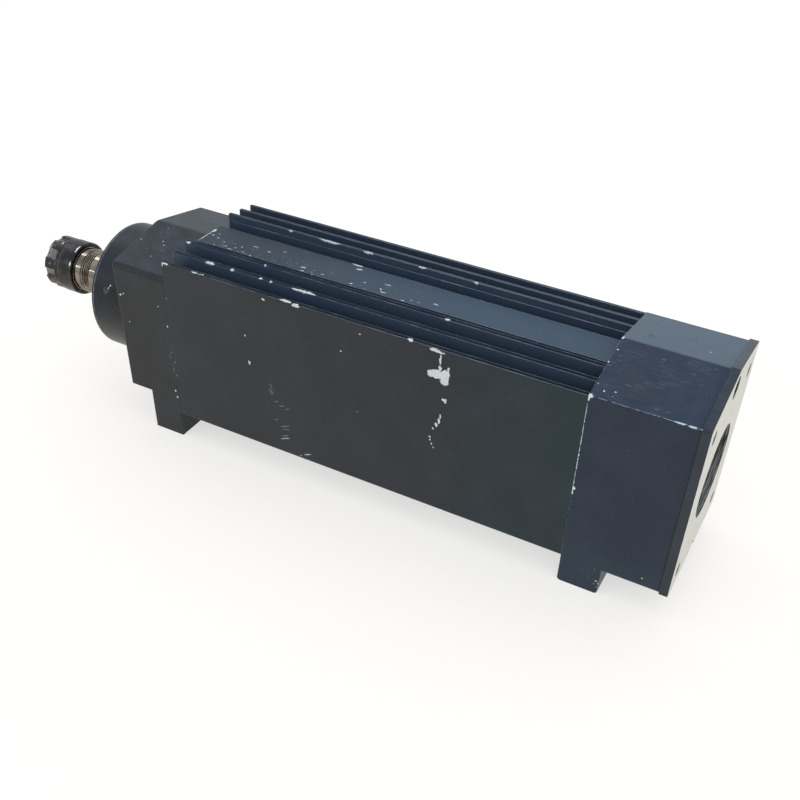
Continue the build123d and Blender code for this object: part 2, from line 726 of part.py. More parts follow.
export_step(rear_cap.part, "parts/rear_cap.step")

# --- Rear tie screws: M6, from the fan chamber into the body ---
heads_plane = Plane(origin=(web_face + m6_head_height, 0, 0), x_dir=(0, -1, 0), z_dir=(-1, 0, 0))
socket_screws("rear_tie_screws", [(-y, z) for y, z in tie_places], heads_plane, m6_head_radius,
              m6_head_height, m6_radius, rear_web + m6_grip, m6_socket)

# --- Fan: moulded impeller with curved blades on a back plate, fixed on the shaft ---
with BuildPart() as cooling_fan:
    revolve(ring(fan_front, hub_rear, fan_seat + seat_fit, fan_hub), axis=spindle_axis)
    revolve(ring(fan_front, fan_front + fan_plate, fan_hub, fan_radius), axis=spindle_axis)
    with BuildSketch(on_axis(fan_front)):
        for k in range(fan_blades):
            with BuildLine(Location((0, 0, 0), (0, 0, 360 / fan_blades * k))):
                SagittaArc((fan_hub - fan_blade / 2, 0), (fan_radius - fan_blade / 2, 0), fan_sweep)
            trace(line_width=fan_blade)
    extrude(amount=fan_plate + fan_blade_length)
cooling_fan.part.label = "cooling_fan"
export_step(cooling_fan.part, "parts/cooling_fan.step")

# --- Fan circlip ---
with BuildPart() as fan_circlip:
    circlip_front = hub_rear + circlip_fit
    revolve(ring(circlip_front, circlip_front + circlip_width, fan_seat - circlip_groove + circlip_fit,
                 fan_seat + circlip_wall), axis=spindle_axis)
    with BuildSketch(on_axis(circlip_front)):
        with BuildLine():
            reach = 2 * (fan_seat + circlip_wall)
            half_angle = radians(circlip_opening / 2)
            Polyline((0, 0), (reach * cos(half_angle), reach * sin(half_angle)),
                     (reach * cos(half_angle), -reach * sin(half_angle)), close=True)
        make_face()
    extrude(amount=circlip_width, mode=Mode.SUBTRACT)
fan_circlip.part.label = "fan_circlip"
export_step(fan_circlip.part, "parts/fan_circlip.step")

# --- Rear lid: plate over the fan chamber with the round air inlet ---
with BuildPart() as rear_lid:
    with BuildSketch(across(lid_front)) as lid_outline:
        with BuildLine():
            Polyline(*gable(half_width + lid_proud, lid_base, rear_crease + lid_proud,
                            rear_ridge + lid_proud), close=True)
        make_face()
        fillet(lid_outline.vertices().sort_by(Axis.Y)[:4], lid_corner)
        with Locations((0, axis_height)):
            Circle(inlet_radius, mode=Mode.SUBTRACT)
        with Locations((0, lid_base)):
            Circle(drain_radius, mode=Mode.SUBTRACT)
        with Locations((0, grommet_height)):
            Circle(grommet_radius, mode=Mode.SUBTRACT)
    extrude(amount=lid_thickness)
    with Locations((lid_rear, 0, grommet_height)):
        Cylinder(grommet_rim + grommet_fit, 2 * grommet_rim_depth, rotation=(0, 90, 0),
                 mode=Mode.SUBTRACT)
    with Locations(*[Location((lid_rear, y, z), (0, 90, 0)) for y, z in lid_places]):
        CounterSinkHole(m4_radius + screw_clearance, 2 * m4_radius, depth=lid_thickness)
    with BuildSketch(across(lid_front)):
        with Locations((0, axis_height)):
            Circle(inlet_radius + guard_lap + guard_fit)
    extrude(amount=guard_thickness + guard_fit, mode=Mode.SUBTRACT)
rear_lid.part.label = "rear_lid"
export_step(rear_lid.part, "parts/rear_lid.step")

# --- Inlet guard: punched sheet disc, pressed into the rebate at the back of the lid ---
with BuildPart() as inlet_guard:
    with BuildSketch(across(lid_front + guard_fit / 2)) as guard_outline:
        with Locations((0, axis_height)):
            with GridLocations(guard_pitch, guard_pitch, guard_rows, guard_rows):
                Rectangle(guard_pitch - guard_bar, guard_pitch - guard_bar)
            Circle(inlet_radius - guard_rim, mode=Mode.INTERSECT)
            guard_windows = guard_outline.sketch_local
            Circle(inlet_radius + guard_lap)
        add(guard_windows, mode=Mode.SUBTRACT)
    extrude(amount=guard_thickness)
inlet_guard.part.label = "inlet_guard"
export_step(inlet_guard.part, "parts/inlet_guard.step")

# --- Lid screws: countersunk M4, flush with the lid ---
with BuildPart() as lid_screws:
    head_face = lid_rear - lid_screw_sink
    head_radius = 2 * m4_radius - lid_screw_sink - screw_fit
    screw_end = lid_front - lid_screw_length + tap_runout
    for y, z in lid_places:
        with BuildSketch(Plane(origin=(0, y, z), x_dir=(1, 0, 0), z_dir=(0, -1, 0))):
            with BuildLine():
                Polyline((head_face, 0), (head_face, head_radius),
                         (head_face - head_radius + m4_radius, m4_radius),
                         (screw_end, m4_radius), (screw_end, 0), close=True)
            make_face()
        revolve(axis=Axis((0, y, z), (1, 0, 0)))
    with BuildSketch(across(head_face)):
        with Locations(*lid_places):
            RegularPolygon(lid_screw_socket / 2, 6, major_radius=False)
    extrude(amount=-lid_screw_socket_depth, mode=Mode.SUBTRACT)
lid_screws.part.label = "lid_screws"
export_step(lid_screws.part, "parts/lid_screws.step")

# --- Lead grommet: rubber bush where the motor leads leave the lid ---
with BuildPart() as lead_grommet:
    rim_front = lid_rear - grommet_rim_depth + grommet_fit
    inner_end = lid_front - grommet_inner_length
    with BuildSketch(Plane(origin=(0, 0, grommet_height), x_dir=(1, 0, 0), z_dir=(0, -1, 0))):
        with BuildLine():
            Polyline((inner_end, grommet_bore), (lid_rear, grommet_bore),
                     (lid_rear, grommet_rim), (rim_front, grommet_rim),
                     (rim_front, grommet_radius - grommet_fit),
                     (inner_end, grommet_radius - grommet_fit), close=True)
        make_face()
    revolve(axis=Axis((0, 0, grommet_height), (1, 0, 0)))
lead_grommet.part.label = "lead_grommet"
export_step(lead_grommet.part, "parts/lead_grommet.step")
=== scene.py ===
from math import cos, pi, radians, sin

import bpy
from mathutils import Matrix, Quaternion, Vector


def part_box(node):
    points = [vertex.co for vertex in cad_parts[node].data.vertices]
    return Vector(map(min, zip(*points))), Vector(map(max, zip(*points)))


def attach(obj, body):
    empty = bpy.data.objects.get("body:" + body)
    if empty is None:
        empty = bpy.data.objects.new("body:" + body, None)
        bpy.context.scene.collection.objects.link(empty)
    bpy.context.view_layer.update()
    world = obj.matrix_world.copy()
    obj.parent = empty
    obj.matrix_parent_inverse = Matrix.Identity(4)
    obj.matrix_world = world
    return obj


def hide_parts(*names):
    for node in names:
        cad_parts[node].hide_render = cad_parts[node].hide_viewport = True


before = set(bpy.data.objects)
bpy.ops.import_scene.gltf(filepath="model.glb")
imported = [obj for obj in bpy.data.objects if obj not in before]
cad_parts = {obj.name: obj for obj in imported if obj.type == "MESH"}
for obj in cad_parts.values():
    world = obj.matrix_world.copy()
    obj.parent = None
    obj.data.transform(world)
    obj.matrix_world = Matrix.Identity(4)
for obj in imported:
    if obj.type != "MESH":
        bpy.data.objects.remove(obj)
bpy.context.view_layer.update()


# --- Camera ---
# A 46 mm lens on a 36 mm sensor, held above and behind the fan end of the spindle.
# The lens is shifted a little, which sets the spindle just above the middle of the view.
def placed(name, held):
    """A new object in the scene, which holds a mesh, a camera's lens or a light."""
    made = bpy.data.objects.new(name, held)
    bpy.context.collection.objects.link(made)
    return made


camera_place = Vector((0.24026, -0.45431, 0.41516))
camera_look = Vector((-0.35139, 0.68179, -0.64163))
camera_roll = radians(1.83)
camera_lens = bpy.data.cameras.new("camera")
camera_lens.sensor_width = 36.0
camera_lens.lens = 45.739
camera_lens.shift_y = 0.0993
camera = placed("camera", camera_lens)
camera.rotation_mode = "QUATERNION"
camera.location = camera_place
camera.rotation_quaternion = (camera_look.to_track_quat("-Z", "Y")
                              @ Quaternion((0, 0, 1), camera_roll))
bpy.context.scene.camera = camera
bpy.context.scene.view_settings.view_transform = "Standard"


# --- Floor ---
# A sheet of matt white board, wide enough to fill the view. Seen straight, in metal or through
# glass it glows a little over its soft shadow, so that it stays white; other light meets plain board.
def linear(colour):
    """Linear colour from an sRGB hex value."""
    parts = [int(colour[k:k + 2], 16) / 255 for k in (1, 3, 5)]
    return (*[p / 12.92 if p <= 0.04045 else ((p + 0.055) / 1.055) ** 2.4 for p in parts], 1.0)


def material(name):
    """An empty material."""
    made = bpy.data.materials.new(name)
    made.use_nodes = True
    made.node_tree.nodes.clear()
    return made


def add(owner, kind, sockets=None, **settings):
    """Adds a node with its settings; a socket takes a value, or an output to link from."""
    made = owner.node_tree.nodes.new("ShaderNode" + kind)
    for name, value in settings.items():
        setattr(made, name, value)
    for socket, value in (sockets or {}).items():
        if isinstance(value, bpy.types.NodeSocket):
            owner.node_tree.links.new(value, made.inputs[socket])
        else:
            made.inputs[socket].default_value = value
    return made


floor_half = 6.0
floor_mesh = bpy.data.meshes.new("floor")
floor_mesh.from_pydata([(x * floor_half, y * floor_half, 0)
                        for x, y in ((-1, -1), (1, -1), (1, 1), (-1, 1))], [], [(0, 1, 2, 3)])
floor = placed("floor", floor_mesh)
white_board = material("white_board")
board = add(white_board, "BsdfDiffuse", {"Color": linear("#f7eddf")})
paper = add(white_board, "BsdfDiffuse", {"Color": linear("#bdb2a4")})
seen = add(white_board, "LightPath")
glow = add(white_board, "Emission", {"Color": linear("#ffffff"), "Strength": 0.62})
shown = add(white_board, "AddShader", {0: paper.outputs[0], 1: glow.outputs[0]})
straight = seen.outputs["Is Camera Ray"]
for ray in ("Is Glossy Ray", "Is Transmission Ray"):
    straight = add(white_board, "Math", {0: straight, 1: seen.outputs[ray]},
                   operation="MAXIMUM").outputs[0]
chosen = add(white_board, "MixShader", {0: straight, 1: board.outputs[0], 2: shown.outputs[0]})
add(white_board, "OutputMaterial", {"Surface": chosen.outputs[0]})
floor_mesh.materials.append(white_board)


# --- Light ---
# Plain daylight from all round, a little cooler overhead and dimmer at the horizon,
# one wide soft window behind the spindle that lights the far slopes of its top,
# and two thin tubes that draw the highlights along its turned nose.
daylight = bpy.data.worlds.new("daylight")
daylight.use_nodes = True
daylight.node_tree.nodes.clear()
bpy.context.scene.world = daylight
sky_way = add(daylight, "TexCoord")
sky_height = add(daylight, "SeparateXYZ", {0: sky_way.outputs["Generated"]})
sky_ramp = add(daylight, "ValToRGB", {0: sky_height.outputs["Z"]})
sky_stops = [(0.0, (0.60, 0.62, 0.64)), (0.16, (0.84, 0.92, 1.00)), (0.40, (0.78, 0.88, 0.99)),
             (0.75, (0.90, 1.00, 1.10)), (1.0, (0.90, 1.00, 1.10))]
stops = sky_ramp.color_ramp.elements
while len(stops) < len(sky_stops):
    stops.new(0.5)
for element, (place, colour) in zip(stops, sky_stops):
    element.position = place
    element.color = (*colour, 1.0)
sky = add(daylight, "Background", {"Color": sky_ramp.outputs[0], "Strength": 0.95})
add(daylight, "OutputWorld", {"Surface": sky.outputs[0]})

lamp_distance = 3.0


def lamp(name, way, size, power, colour=(1.0, 1.0, 1.0)):
    """A soft rectangular light on the given side of the spindle, turned to face it."""
    toward = Vector(way).normalized()
    made = bpy.data.lights.new(name, "AREA")
    made.shape = "RECTANGLE"
    made.size, made.size_y = size
    made.energy = power
    made.color = colour
    stand = placed(name, made)
    stand.location = toward * lamp_distance
    stand.rotation_mode = "QUATERNION"
    stand.rotation_quaternion = toward.to_track_quat("Z", "Y")


lamp("window", (-0.05, 0.97, 0.22), (2.4, 0.8), 4.0, (0.80, 0.93, 1.0))
lamp("ceiling_tube", (-0.65, 0.24, 0.72), (0.9, 0.14), 3.8)
lamp("side_tube", (-0.65, -0.64, 0.40), (0.9, 0.05), 2.4)


# --- Finned body ---
# Extruded aluminium with a baked satin enamel, near black. Painted light makes it charcoal at the
# sides and navy on top, a lighter navy in the channels and dark on the fins' tips. It is worn to metal
# along the fins' tips, where painted highlight lines run too, and chipped, and scatters light along
# its draw lines.
mm = 0.001


def corners(node):
    """Lowest and highest corner of a CAD node, in millimetres."""
    return [[value / mm for value in corner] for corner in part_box(node)]


body_low, body_high = corners("motor_body")
body_front, body_rear = body_low[0], body_high[0]
near_side, far_side = body_low[1], body_high[1]
axis_height = 73.0
land_top = axis_height + 54.5
outer_tip = axis_height + 55.0    # tip of the outermost fins
middle_tip = axis_height + 56.9
inner_tip = axis_height + 58.8
shallow = 0.8                     # how far a mark on a top face reaches up and down


def on_side(y, *spots, reach=2.0):
    """Marks on an upright side: each spot is x, z, and half its length and height."""
    return [((x, y, z), (along, reach, high)) for x, z, along, high in spots]


def on_top(z, *spots):
    """Marks on a face that looks up: each spot is x, y, and half its length and width."""
    return [((x, y, z), (along, across, shallow)) for x, y, along, across in spots]


def on_slope(*spots):
    """Marks on a slope: each spot is x, y, z, and half its length and width."""
    return [((x, y, z), (along, across, shallow)) for x, y, z, along, across in spots]


def place_in_mm(owner):
    """The surface's own place in millimetres, in the spindle's frame."""
    place = add(owner, "TexCoord")
    return add(owner, "VectorMath", {0: place.outputs["Object"], 1: (1 / mm, 1 / mm, 1 / mm)},
               operation="MULTIPLY").outputs[0]


def between(owner, value, low, high):
    """0 below low, 1 above high and a smooth step between; it falls if low is above high."""
    return add(owner, "MapRange", {"Value": value, "From Min": low, "From Max": high},
               interpolation_type="SMOOTHSTEP").outputs[0]


def grain(owner, place, size, detail=2.0, stretch=(1.0, 1.0, 1.0)):
    """Cloudy noise whose patches are about size mm across, drawn out by the stretch."""
    scaled = add(owner, "VectorMath", {0: place, 1: tuple(1.0 / (size * s) for s in stretch)},
                 operation="MULTIPLY")
    return add(owner, "TexNoise", {"Vector": scaled.outputs[0], "Scale": 1.0,
                                   "Detail": detail}).outputs[0]


def times(owner, *values):
    """Product of several values."""
    made = values[0]
    for value in values[1:]:
        made = add(owner, "Math", {0: made, 1: value}, operation="MULTIPLY").outputs[0]
    return made


def most(owner, *values):
    """Largest of several values."""
    made = values[0]
    for value in values[1:]:
        made = add(owner, "Math", {0: made, 1: value}, operation="MAXIMUM").outputs[0]
    return made


def coated(owner, colour, metal, rough, normal, **more):
    """Ends a material with its surface, and gives the material back."""
    skin = add(owner, "BsdfPrincipled", {"Base Color": colour, "Metallic": metal, "Roughness": rough,
                                         "Normal": normal, **more})
    add(owner, "OutputMaterial", {"Surface": skin.outputs[0]})
    return owner


def tint(owner, share, under, over):
    """Colour that goes from under to over by share."""
    return add(owner, "Mix", {0: share, 6: under, 7: over}, data_type="RGBA").outputs[2]


def level(owner, share, under, over):
    """Value that goes from under to over by share."""
    return add(owner, "Mix", {0: share, 2: under, 3: over}).outputs[0]


def edges(owner, width):
    """1 on sharp edges, and 0 from width mm away."""
    soft = add(owner, "Bevel", {"Radius": width * mm}, samples=6)
    true = add(owner, "NewGeometry")
    match = add(owner, "VectorMath", {0: soft.outputs[0], 1: true.outputs["Normal"]},
                operation="DOT_PRODUCT")
    return between(owner, match.outputs["Value"], 0.995, 0.93)


def flakes(owner, place, marks, push=1.0, chip=0.7):
    """1 inside any mark; a mark is its centre and its half sizes in mm.

    Its rim is ragged by up to push mm, and broken into flat facets by up to chip mm.
    """
    ragged = add(owner, "TexNoise", {"Vector": place, "Scale": 0.8, "Detail": 3.0})
    facets = add(owner, "TexVoronoi", {"Vector": place, "Scale": 0.75})
    moved = place
    for pattern, throw in ((ragged, push), (facets, chip)):
        pushed = add(owner, "VectorMath", {0: pattern.outputs["Color"], 1: (0.5, 0.5, 0.5)},
                     operation="SUBTRACT").outputs[0]
        moved = add(owner, "VectorMath", {0: pushed, 1: (throw, throw, throw), 2: moved},
                    operation="MULTIPLY_ADD").outputs[0]
    nearest = None
    for centre, half in marks:
        out = add(owner, "VectorMath", {0: moved, 1: centre}, operation="SUBTRACT")
        scaled = add(owner, "VectorMath", {0: out.outputs[0], 1: half}, operation="DIVIDE")
        length = add(owner, "VectorMath", {0: scaled.outputs[0]}, operation="LENGTH").outputs["Value"]
        if nearest is not None:
            length = add(owner, "Math", {0: nearest, 1: length}, operation="MINIMUM").outputs[0]
        nearest = length
    return between(owner, nearest, 1.06, 0.94)


def enamel(name, tone, worn, marks, dust=0.08, gloss=0.42, draw=(60.0, 1.0, 1.0), scuff=None,
           bare_and_highlight_at=None, rub_width=0.35, painted_shade_at=None):
    """Baked satin enamel: dusty where it faces up, worn to metal at its edges, with painted highlight
    lines on some edges, and chipped.

    Where painted shade is asked for, it loses its sheen and shows its own dark colour alone.
    Its draw lines are coarser than real ones, so that they show.
    """
    made = material(name)
    place = place_in_mm(made)
    up = add(made, "SeparateXYZ", {0: add(made, "NewGeometry").outputs["Normal"]}).outputs["Z"]
    colour = tone(made, place, up)
    cloud = grain(made, place, 30.0, 4.0)
    colour = tint(made, times(made, between(made, cloud, 0.35, 0.75), 0.12), colour, linear("#4a545c"))
    settled = times(made, between(made, up, 0.5, 0.95),
                    between(made, grain(made, place, 9.0, 5.0), 0.35, 0.8), dust)
    colour = tint(made, settled, colour, linear("#7b838b"))
    if scuff:
        colour = scuff(made, place, up, colour)
    speck = between(made, grain(made, place, 1.0, 0.0), 0.80, 0.84)
    colour = tint(made, times(made, speck, 0.28), colour, linear("#8c9094"))
    # Worn edges in a light bluish grey; on the cap's front edge, behind the flange's chamfer and along
    # the fins' tips these are painted highlight lines too.
    rub_and_highlight = times(made, edges(made, rub_width), worn(made, place))
    if bare_and_highlight_at:
        rub_and_highlight = most(made, rub_and_highlight, bare_and_highlight_at(made, place))
    colour = tint(made, rub_and_highlight, colour, linear("#d3dde6"))
    chips = flakes(made, place, marks)
    # Bare here takes in the chips, the worn edges and the painted highlight lines together.
    bare = most(made, rub_and_highlight, chips)
    metal = tint(made, grain(made, place, 1.6), linear("#c9cac6"), linear("#f4f4f0"))
    colour = tint(made, chips, colour, metal)
    lines = grain(made, place, 0.7, 3.0, stretch=draw)
    rough = level(made, lines, gloss - 0.06, gloss + 0.06)
    rough = level(made, bare, rough, 0.55)
    fine = add(made, "Bump", {"Strength": 0.10, "Distance": 0.03 * mm, "Height": lines})
    rounded = add(made, "Bevel", {"Radius": 0.3 * mm, "Normal": fine.outputs[0]}, samples=4)
    sunk = add(made, "Bump", {"Strength": 0.5, "Distance": 0.1 * mm, "Height": bare,
                              "Normal": rounded.outputs[0]}, invert=True)
    # Painted shade: where asked, a metallic share with the dark base colour takes the sheen away, as
    # on the fins' tips.
    painted_shade = 0.0
    if painted_shade_at:
        whole = add(made, "Math", {0: 1.0, 1: bare}, operation="SUBTRACT").outputs[0]
        painted_shade = times(made, painted_shade_at(made, place, up), whole)
    return coated(made, colour, painted_shade, rough, sunk.outputs[0],
                  **{"IOR": 1.45, "Specular IOR Level": 0.34})


def dress(skin, *nodes):
    """Gives CAD nodes their finished material."""
    for node in nodes:
        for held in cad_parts[node].material_slots:
            held.material = skin


land_half = 14.0                  # the land and the step beside it end here


def fin_tips(made, place, up):
    """1 on the fins' tips, which painted shade darkens and takes the sheen from."""
    y = add(made, "SeparateXYZ", {0: place}).outputs["Y"]
    out = add(made, "Math", {0: y}, operation="ABSOLUTE").outputs[0]
    return times(made, between(made, out, land_half, land_half + 2.0), between(made, up, 0.6, 0.9))


def body_tone_and_painted_light(made, place, up):
    """Painted light and shade on a near black enamel: charcoal on the outer sides, navy on top, and a
    lighter navy inside the channels.
    """
    x, y, z = add(made, "SeparateXYZ", {0: place}).outputs
    facing = add(made, "SeparateXYZ", {0: add(made, "NewGeometry").outputs["Normal"]}).outputs["Y"]
    out = add(made, "Math", {0: y}, operation="ABSOLUTE").outputs[0]
    wall = add(made, "Math", {0: facing}, operation="ABSOLUTE").outputs[0]
    inside = times(made, between(made, wall, 0.6, 0.8),
                   between(made, out, far_side - 0.6, far_side - 1.0))
    # The land is lighter towards the fan end; painted light makes the channels lighter than their
    # shade would leave them.
    land = tint(made, between(made, x, -120.0, 60.0), linear("#252f3a"), linear("#384a5a"))
    top = tint(made, inside, land, linear("#3d4a5c"))
    # Painted shade: the fins' tips are painted dark.
    top = tint(made, fin_tips(made, place, up), top, linear("#151e2a"))
    # Painted reflection: the outer sides turn darker and bluer towards the fan end. Sides and top
    # differ by painted light.
    side = tint(made, between(made, x, 20.0, 130.0), linear("#27292d"), linear("#1c2c30"))
    return tint(made, between(made, out, far_side - 0.4, far_side - 0.1), top, side)


def fins_wear_and_highlight(made, place):
    """Worn edges and painted highlight: a hair line along both edges of each tip, broken at the front,
    brighter to the fan end.
    """
    x, y, z = add(made, "SeparateXYZ", {0: place}).outputs
    high = between(made, z, outer_tip - 4.0, outer_tip - 2.5)
    dashes = between(made, grain(made, place, 5.0, 4.0, stretch=(2.6, 1.0, 1.0)), 0.44, 0.58)
    # Wear and painted highlight lines: fainter at the front and brighter to the fan end.
    whole = level(made, between(made, x, -110.0, 100.0), 0.16, 0.62)
    broken = times(made, dashes, level(made, between(made, x, -110.0, 60.0), 0.50, 0.95))
    return times(made, high, most(made, whole, broken))


# The large chip on the near side with its trail, then chips on the fins' tips, specks on the land,
# and chips that reach round an edge.
body_marks = [
    *on_side(near_side,
             (49.8, 112.2, 4.0, 2.8), (54.7, 112.6, 2.5, 3.9), (54.6, 108.6, 2.5, 2.0),
             (46.0, 111.6, 1.9, 2.2), (51.4, 116.4, 0.8, 1.6), (56.3, 117.2, 0.6, 1.6),
             (51.6, 121.4, 0.5, 3.6), (48.4, 126.7, 3.9, 0.9), (52.2, 126.2, 1.9, 0.5),
             (55.0, 97.2, 1.5, 1.0), (55.7, 96.4, 0.7, 1.5), (53.4, 85.6, 0.45, 1.7),
             (52.6, 82.2, 0.7, 1.8), (51.2, 79.0, 0.8, 1.6), (49.5, 76.0, 0.6, 0.5),
             (47.4, 69.7, 0.5, 0.5), (48.0, 67.3, 0.45, 0.45), (49.0, 65.1, 0.45, 0.5),
             (49.9, 62.8, 0.4, 0.5), (-73.5, 78.0, 0.6, 1.6), (-75.1, 96.6, 0.6, 0.6),
             (-60.2, 124.8, 0.8, 0.7), (-9.8, 107.2, 0.45, 0.45), (2.5, 121.8, 0.5, 0.45),
             (0.7, 69.7, 0.35, 0.35)),
    *on_top(middle_tip,
            (-89.0, -34.4, 1.2, 0.9), (-69.4, -34.4, 1.0, 0.9), (-62.2, -34.4, 1.0, 0.9),
            (-40.2, -34.4, 8.2, 0.9)),
    *on_top(inner_tip,
            (-129.0, -23.0, 1.8, 0.9), (-73.8, -23.0, 0.9, 0.9), (43.4, -23.0, 1.6, 0.9)),
    *on_top(inner_tip + 0.1,
            (-85.2, 21.2, 1.3, 0.9), (-57.2, 21.2, 8.0, 0.9), (-30.4, 21.2, 3.2, 0.9),
            (5.2, 21.2, 2.8, 0.9), (39.7, 21.2, 1.4, 0.9)),
    *on_top(land_top,
            (-127.4, -0.6, 1.1, 0.5), (-122.8, -2.6, 0.8, 0.3), (-124.6, 1.9, 0.6, 0.3),
            (-116.2, -4.8, 0.7, 0.3), (-112.5, -8.6, 1.2, 0.3), (-108.6, -10.4, 0.9, 0.3),
            (-106.2, -7.8, 0.6, 0.3), (-99.4, -9.6, 1.1, 0.3), (-93.1, -11.2, 0.8, 0.3),
            (-119.3, -10.9, 0.5, 0.3), (-103.4, -4.7, 0.6, 0.4), (-96.3, -0.1, 1.5, 0.35),
            (-86.1, -1.5, 1.7, 0.35), (-77.6, 3.3, 1.4, 0.35), (-58.0, -7.3, 1.8, 0.45),
            (-57.0, -11.0, 1.6, 0.3), (-44.7, -8.5, 0.7, 0.4), (-49.3, -11.4, 0.8, 0.35),
            (-24.9, -9.3, 1.2, 0.45), (-18.4, -4.2, 0.6, 0.35), (-5.8, 0.1, 2.4, 0.35),
            (-6.9, -6.2, 0.9, 0.5), (-4.2, -8.4, 2.0, 0.4), (9.8, -11.0, 0.8, 0.35),
            (14.0, -8.6, 0.6, 0.35), (18.6, -8.1, 0.6, 0.3), (27.9, -5.4, 1.9, 0.45)),
    ((-129.3, -45.7, 128.2), (2.3, 1.0, 0.9)), ((-131.0, -45.8, 126.8), (0.5, 0.8, 1.5)),
    ((-105.8, -45.5, 128.3), (4.8, 0.6, 0.5)), ((-45.4, -45.6, 128.2), (4.2, 0.9, 0.8)),
    ((-38.4, -45.8, 127.3), (2.6, 0.9, 1.2)), ((33.0, -45.6, 127.9), (1.9, 0.9, 0.9)),
    ((-104.6, -34.4, 129.9), (3.3, 1.2, 1.1)), ((-130.7, 4.2, 127.5), (1.3, 2.3, 1.0)),
    ((-131.1, -4.6, 127.5), (0.4, 6.0, 1.0)), ((-32.0, 11.6, 127.5), (3.6, 0.7, 0.9)),
    ((-29.0, 7.6, 127.5), (1.8, 0.6, 0.9)),
]


def body_scuffs(made, place, up, colour):
    """Fine pale specks drawn out along the near half of the land, a wiped spot and scratches."""
    x, y, z = add(made, "SeparateXYZ", {0: place}).outputs
    near = times(made, between(made, y, 2.0, -6.0), between(made, y, -12.5, -11.0),
                 between(made, x, -124.0, -112.0),
                 level(made, between(made, x, -20.0, 10.0), 1.0, 0.0))
    dots = between(made, grain(made, place, 1.1, 1.0, stretch=(2.4, 1.0, 1.0)), 0.68, 0.72)
    colour = tint(made, times(made, near, dots, 0.6), colour, linear("#b9bcbe"))
    spot = flakes(made, place, on_side(near_side, (-58.9, 64.0, 1.8, 4.2)), 2.0)
    wiped = between(made, grain(made, place, 1.2, 3.0, stretch=(1.0, 1.0, 2.0)), 0.42, 0.60)
    colour = tint(made, times(made, spot, wiped, 0.22), colour, linear("#a6a8aa"))
    slant = add(made, "Math", {0: x, 1: -0.44, 2: z}, operation="MULTIPLY_ADD").outputs[0]
    sheared = add(made, "CombineXYZ", {"X": x, "Y": y, "Z": slant}).outputs[0]
    faint = flakes(made, sheared, on_side(
        near_side,
        (-55.6, 80.6, 1.6, 0.35), (-52.0, 77.0, 1.8, 0.3), (-47.6, 74.4, 1.6, 0.3),
        (-56.4, 67.3, 1.1, 0.35), (-50.4, 61.6, 3.2, 0.3), (-49.8, 59.3, 2.6, 0.25),
        (-50.8, 54.3, 2.2, 0.3)), 0.8, 0.3)
    colour = tint(made, times(made, faint, 0.4), colour, linear("#b4b6b8"))
    keen = flakes(made, sheared, on_side(
        near_side,
        (-50.6, 52.3, 3.4, 0.3), (-34.8, 39.0, 2.8, 0.3), (-39.6, 38.6, 0.6, 0.3)), 0.7, 0.3)
    return tint(made, times(made, keen, 0.9), colour, linear("#dcdcda"))


body_enamel = enamel("body_enamel", body_tone_and_painted_light, fins_wear_and_highlight, body_marks, dust=0.05,
                     scuff=body_scuffs, rub_width=0.24, painted_shade_at=fin_tips)
dress(body_enamel, "motor_body")


# --- Stator and rotor ---
# Both cores are stacks of punched silicon steel sheet, half a millimetre thick.
# The windings are varnished copper wire, and the rotor's end rings are pressure-cast aluminium.
def cast_metal(name, light, dark, rough=0.5, dirt=None):
    """Cast metal: a fine pebbled skin, cloudy, with rubbed edges."""
    made = material(name)
    place = place_in_mm(made)
    cloud = between(made, grain(made, place, 7.0, 5.0), 0.32, 0.70)
    colour = tint(made, cloud, linear(dark), linear(light))
    if dirt:
        dusty = between(made, grain(made, place, 4.0, 5.0), 0.40, 0.72)
        colour = tint(made, times(made, dusty, 0.55), colour, linear(dirt))
    rub_and_highlight = times(made, edges(made, 0.3), between(made, grain(made, place, 2.0, 3.0), 0.35, 0.6), 0.6)
    colour = tint(made, rub_and_highlight, colour, linear("#d9d8d2"))
    pebble = grain(made, place, 0.7, 3.0)
    rounded = add(made, "Bevel", {"Radius": 0.4 * mm}, samples=4)
    skin_bump = add(made, "Bump", {"Strength": 0.35, "Distance": 0.1 * mm, "Height": pebble,
                                   "Normal": rounded.outputs[0]})
    return coated(made, colour, 1.0, level(made, pebble, rough - 0.08, rough + 0.1),
                  skin_bump.outputs[0])


def sheet_stack():
    """Punched sheets seen edge on: thin bright edges with dark varnish between them."""
    made = material("lamination_steel")
    place = place_in_mm(made)
    sheets = grain(made, place, 0.5, 0.0, stretch=(1.0, 400.0, 400.0))
    cloud = grain(made, place, 5.0, 4.0)
    colour = tint(made, between(made, sheets, 0.40, 0.60), linear("#2e2c2a"), linear("#9b9a98"))
    colour = tint(made, times(made, between(made, cloud, 0.45, 0.75), 0.5), colour, linear("#5c4a36"))
    ridged = add(made, "Bump", {"Strength": 0.5, "Distance": 0.06 * mm, "Height": sheets})
    return coated(made, colour, 0.8, level(made, cloud, 0.38, 0.6), ridged.outputs[0])


def around_axis(owner, place):
    """Place as distance along the spindle and distance from its axis, for lines that go round."""
    out = add(owner, "VectorMath", {0: place, 1: (0.0, 1.0, 1.0), 2: (0.0, 0.0, -axis_height)},
              operation="MULTIPLY_ADD")
    radius = add(owner, "VectorMath", {0: out.outputs[0]}, operation="LENGTH").outputs["Value"]
    along = add(owner, "SeparateXYZ", {0: place}).outputs["X"]
    return add(owner, "CombineXYZ", {"X": along, "Y": radius}).outputs[0]


